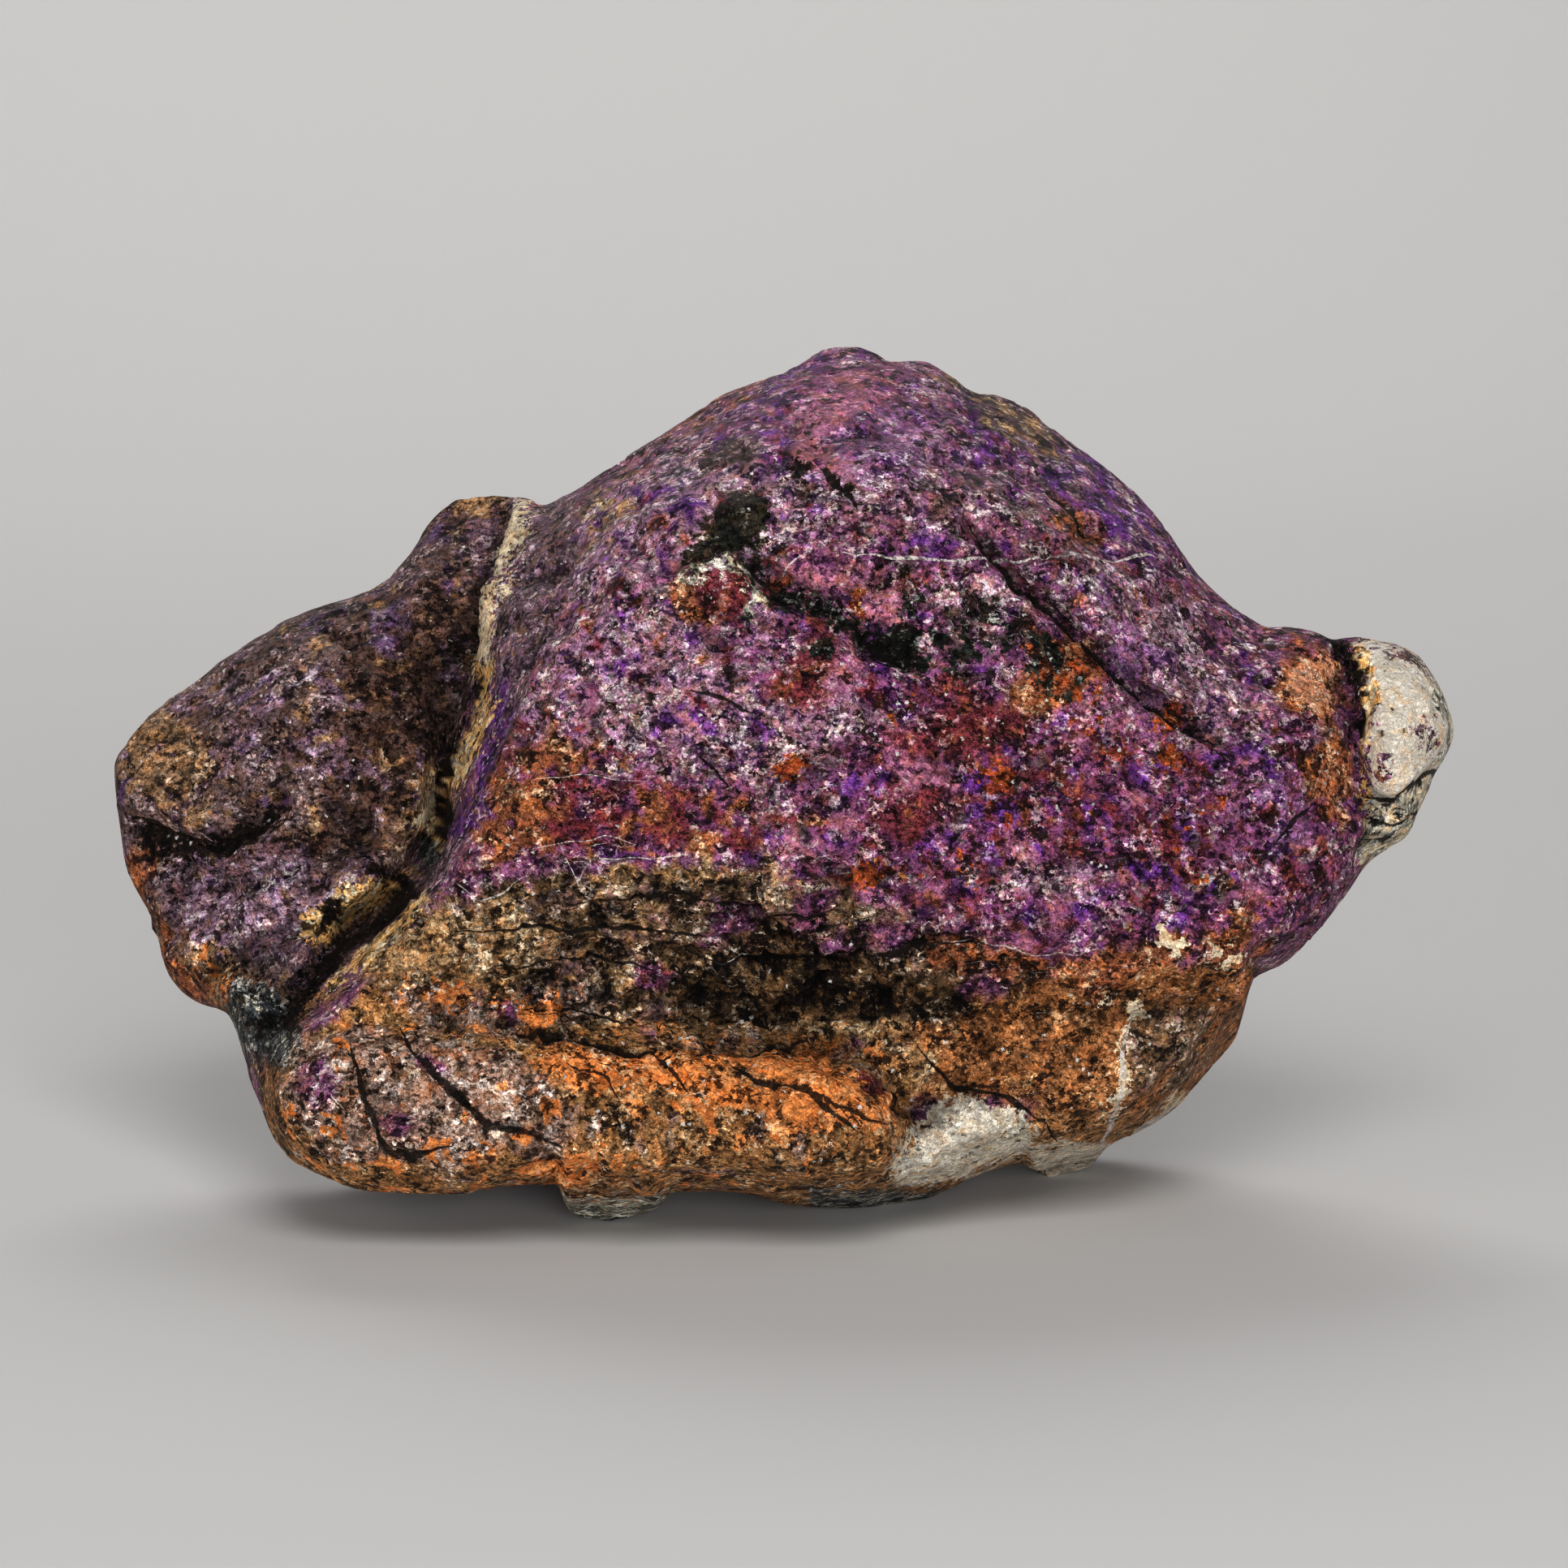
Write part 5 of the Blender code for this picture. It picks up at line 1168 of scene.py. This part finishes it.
def purpleStoneMaterial():
    material = bpy.data.materials.new("purple_stone")
    material.use_nodes = True
    tree = material.node_tree
    shader = tree.nodes["Principled BSDF"]
    shader.inputs["Specular IOR Level"].default_value = purpleStone["shine"]
    flecks = flecksGroup()
    work, ramp, blend, split = (partial(make, tree) for make in (reckon, ramped, blended, parted))
    cloud, point, shift = (partial(make, tree) for make in (clouds, stored, shifted))

    def times(a, b):
        return work("MULTIPLY", a, b)

    def shaded(tone, shade):  # multiplied
        return blend(1.0, tone, shade, "MULTIPLY")

    def fleck(place, cut, cloudScale, grainScale, grainPart, edge):
        given = {"Place": place, "Cloud Scale": cloudScale, "Grain Scale": grainScale}
        given.update({"Grain Part": grainPart, "Cut": cut, "Edge": edge})
        return addNode(tree, "ShaderNodeGroup", given, node_tree=flecks).outputs

    place = scaled(tree, addNode(tree, "ShaderNodeTexCoord").outputs["Object"], perMetre)
    # every place is pushed a little aside, so that the grains have torn edges
    place = shift(place, scaled(tree, cloud(place, 4.2, 1.5, 0.7, "Color"), purpleStone["torn"]))
    settings = {"Vector": place, "Rotation": (0.0, 0.3, 0.2), "Scale": (0.8, 1.0, 1.1)}
    streaked = addNode(tree, "ShaderNodeMapping", settings).outputs[0]
    # sharp paints: their edge is frayed by clouds
    fray = times(work("SUBTRACT", cloud(place, 1.9, 3.0, 0.75), 0.5), 3.2)
    over = ramp(work("ADD", point("sharpEdge"), fray), 0.05, -0.05)

    def tones(name):
        return blend(over, point(name, "Color"), point(name + "Sharp", "Color"))

    cuts = split(tones("fleckCuts"))
    # flecks gather in clusters: the cuts rise and fall over a millimetre or two
    cluster = split(cloud(place, purpleStone["clusters"], 2.0, 0.6, "Color"))
    deepCut = work("ADD", cuts[0], ramp(cluster[0], 0.34, 0.66, -0.9, 1.0))
    paleCut = work("ADD", cuts[2], ramp(cluster[1], 0.34, 0.66, -0.8, 0.9))
    side = fleck(place, cuts[1], *purpleStone["sideFlecks"])
    deep = fleck(shift(streaked, (31.0, 7.0, 3.0)), deepCut, *purpleStone["deepFlecks"])
    pale = fleck(shift(streaked, (5.0, 43.0, 17.0)), paleCut, *purpleStone["paleFlecks"])
    warm = cloud(place, 1.25, 1.5)
    mainTone = blend(ramp(warm, 0.5, 0.64, 0.0, 0.75), tones("mainTone"), purpleStone["warmer"], "MULTIPLY")
    deepTone = blend(ramp(warm, 0.44, 0.54), tones("deepTone"), purpleStone["sootTone"])
    paleTone = blend(ramp(warm, 0.48, 0.6, 0.0, 0.8), tones("paleTone"), purpleStone["creamer"], "MULTIPLY")
    tone = blend(side["Mask"], mainTone, tones("sideTone"))
    # where the stone is purple, clouds of it are bluer
    hue = split(tone)
    purple = ramp(work("SUBTRACT", hue[2], hue[1]), 0.02, 0.09)
    blue = ramp(cloud(shift(place, (17.0, 3.0, 29.0)), 1.0, 2.0, 0.65), 0.5, 0.64, 0.0, 0.6)
    tone = blend(times(blue, purple), tone, purpleStone["bluer"], "MULTIPLY")
    # the rise and fall of lightness: broad, mottled, and as fine as dust
    mottle = cloud(streaked, purpleStone["mottle"], 3.5, 0.76)
    shade = times(ramp(cluster[2], 0.36, 0.64, 0.66, 1.34), ramp(mottle, 0.375, 0.625, 0.2, 2.0))
    shade = times(shade, ramp(cloud(place, purpleStone["dust"], 1.0, 0.7), 0.34, 0.66, 0.68, 1.36))
    deepTone = blend(0.4, deepTone, shaded(tone, purpleStone["dimmer"]))
    # rounded dark cells, here and there on the purple
    webbed = times(purple, ramp(cluster[1], 0.6, 0.42))
    tone = blend(webbed, tone, shaded(tone, ramp(side["Round"], 0.2, 0.62, 0.5, 1.4)))
    tone = blend(deep["Mask"], tone, deepTone)
    tone = blend(pale["Mask"], tone, paleTone)
    stirred = work("SUBTRACT", 1.0, between(tree, over, point("calm"), point("calmSharp")))
    tone = blend(stirred, tone, shaded(tone, shade))
    # painted light and shade on rounded grains: their middles are lightened and the seams between them
    # darkened, strong where the stone is coarse
    crumb = grains(tree, place, purpleStone["crumbs"])
    coarse = point("coarse")
    grainShadingPart = times(times(coarse, ramp(cluster[0], 0.6, 0.42, 0.25, 1.0)), stirred)
    tone = blend(grainShadingPart, tone, shaded(tone, ramp(crumb["Distance"], 0.25, 0.62, 1.25, 0.2)))
    # painted glints: a few grains get small white dots, standing in for the light they catch
    chance = ramp(split(crumb["Color"])[1], *purpleStone["paintedGlintChance"])
    paintedGlint = times(ramp(crumb["Distance"], 0.3, 0.16), chance)
    tone = blend(times(paintedGlint, 0.85), tone, purpleStone["paintedGlintTone"])
    # white threads, broken by the mottle, and black cracks with frayed edges
    thread = ramp(work("ABSOLUTE", point("threadLine")), 1.1, 0.55)
    tone = blend(times(thread, ramp(mottle, 0.42, 0.54, 0.12, 0.95)), tone, purpleStone["threadTone"])
    crack = ramp(work("ADD", work("ABSOLUTE", point("crackLine")), times(fray, 0.8)), 0.95, 0.6)
    tone = blend(times(crack, 0.96), tone, purpleStone["crackTone"])
    # painted shade: the hollows are darkened
    tone = shaded(tone, ramp(point("hollow"), 0.02, 0.5, 1.0, 0.36))
    tree.links.new(tone, shader.inputs["Base Color"])
    rough = ramp(mottle, 0.35, 0.65, *purpleStone["roughness"])
    rough = between(tree, ramp(pale["Level"], 1.6, 2.1), rough, purpleStone["glint"])
    tree.links.new(rough, shader.inputs["Roughness"])
    height = work("SUBTRACT", times(mottle, 2.9), times(crumb["Distance"], coarse))
    settings = {"Height": height, "Distance": purpleStone["bump"], "Strength": 1.0}
    bump = addNode(tree, "ShaderNodeBump", settings)
    tree.links.new(bump.outputs["Normal"], shader.inputs["Normal"])
    print("stone material made")
    return material


piece = makeRock()
piece.data.materials.append(purpleStoneMaterial())
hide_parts("purpurite_rock")
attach(piece, "root")

# Floor, light and camera, in metres
studio = {
    "floorTone": (0.52, 0.51, 0.50),
    "floorCurve": 0.25,  # radius
    "floorBack": 0.35,
    "floorAhead": -1.6,
    "floorWide": 3.0,
    "wallTall": 1.6,
    "world": 0.12,
    "lights": [  # place, size, power in watts
        ((0.04, -0.60, 0.42), 0.26, 3.7),
        ((-0.55, -0.50, 0.20), 0.5, 1.1),
        ((0.10, -0.75, 0.06), 0.3, 5.3),
        ((-0.05, 0.50, 0.45), 0.4, 2.2),
    ],
    "lightsAimAt": (0.0, 0.0, 0.02),
    "sensor": 36.0,  # millimetres
    "pictureWide": 1932 / 22,  # millimetres of the drawing
}


# a floor that runs level to the back and then curves up to a wall, as a quarter circle
def makeFloor():
    radius, back = studio["floorCurve"], studio["floorBack"]
    t = np.linspace(0, math.pi / 2, 24)
    y = np.concatenate([[studio["floorAhead"]], back + radius * np.sin(t), [back + radius]])
    z = np.concatenate([[0.0], radius - radius * np.cos(t), [studio["wallTall"]]])
    wide = np.full(len(y), studio["floorWide"])
    points = np.concatenate([np.c_[-wide, y, z], np.c_[wide, y, z]])
    i = np.arange(len(y) - 1)
    faces = np.stack([i, i + len(y), i + len(y) + 1, i + 1], axis=-1)
    mesh = bpy.data.meshes.new("floor")
    mesh.from_pydata(points.tolist(), [], faces.tolist())
    mesh.shade_smooth()
    floor = bpy.data.objects.new("floor", mesh)
    bpy.context.scene.collection.objects.link(floor)
    paper = bpy.data.materials.new("floor_paper")
    paper.use_nodes = True
    shader = paper.node_tree.nodes["Principled BSDF"]
    shader.inputs["Base Color"].default_value = (*studio["floorTone"], 1)
    shader.inputs["Roughness"].default_value = 0.9
    mesh.materials.append(paper)


# a dim white room, and square lamps that all face the same point
def makeLights():
    world = bpy.data.worlds.new("soft room")
    bpy.context.scene.world = world
    world.use_nodes = True
    world.node_tree.nodes["Background"].inputs["Color"].default_value = (1.0, 1.0, 1.0, 1)
    world.node_tree.nodes["Background"].inputs["Strength"].default_value = studio["world"]
    for number, (place, size, power) in enumerate(studio["lights"]):
        lamp = bpy.data.lights.new(f"lamp{number}", "AREA")
        lamp.energy, lamp.size = power, size
        holder = bpy.data.objects.new(f"lamp{number}", lamp)
        holder.location = place
        holder.rotation_mode = "QUATERNION"
        aim = Vector(studio["lightsAimAt"]) - Vector(place)
        holder.rotation_quaternion = aim.to_track_quat("-Z", "Y")
        bpy.context.scene.collection.objects.link(holder)


# the camera looks down by the drawing's tilt, from the drawing's eye
def makeCamera():
    tilt = rock["eyeTilt"]
    camera = bpy.data.objects.new("camera", bpy.data.cameras.new("camera"))
    camera.data.sensor_width = studio["sensor"]
    camera.data.lens = studio["sensor"] * rock["eyeDistance"] / studio["pictureWide"]
    camera.data.clip_start = 0.01
    up = Vector((0, math.sin(tilt), math.cos(tilt)))
    ahead = Vector((0, math.cos(tilt), -math.sin(tilt)))
    middle = Vector((*rock["shiftToCentre"], 0)) + up * rock["eyeHeight"]
    camera.location = (middle - ahead * rock["eyeDistance"]) / perMetre
    camera.rotation_euler = (math.pi / 2 - tilt, 0, 0)
    bpy.context.scene.collection.objects.link(camera)
    bpy.context.scene.camera = camera


makeFloor()
makeLights()
makeCamera()
bpy.context.scene.view_settings.view_transform = "Standard"
print("floor, lights and camera made")

bpy.context.view_layer.update()
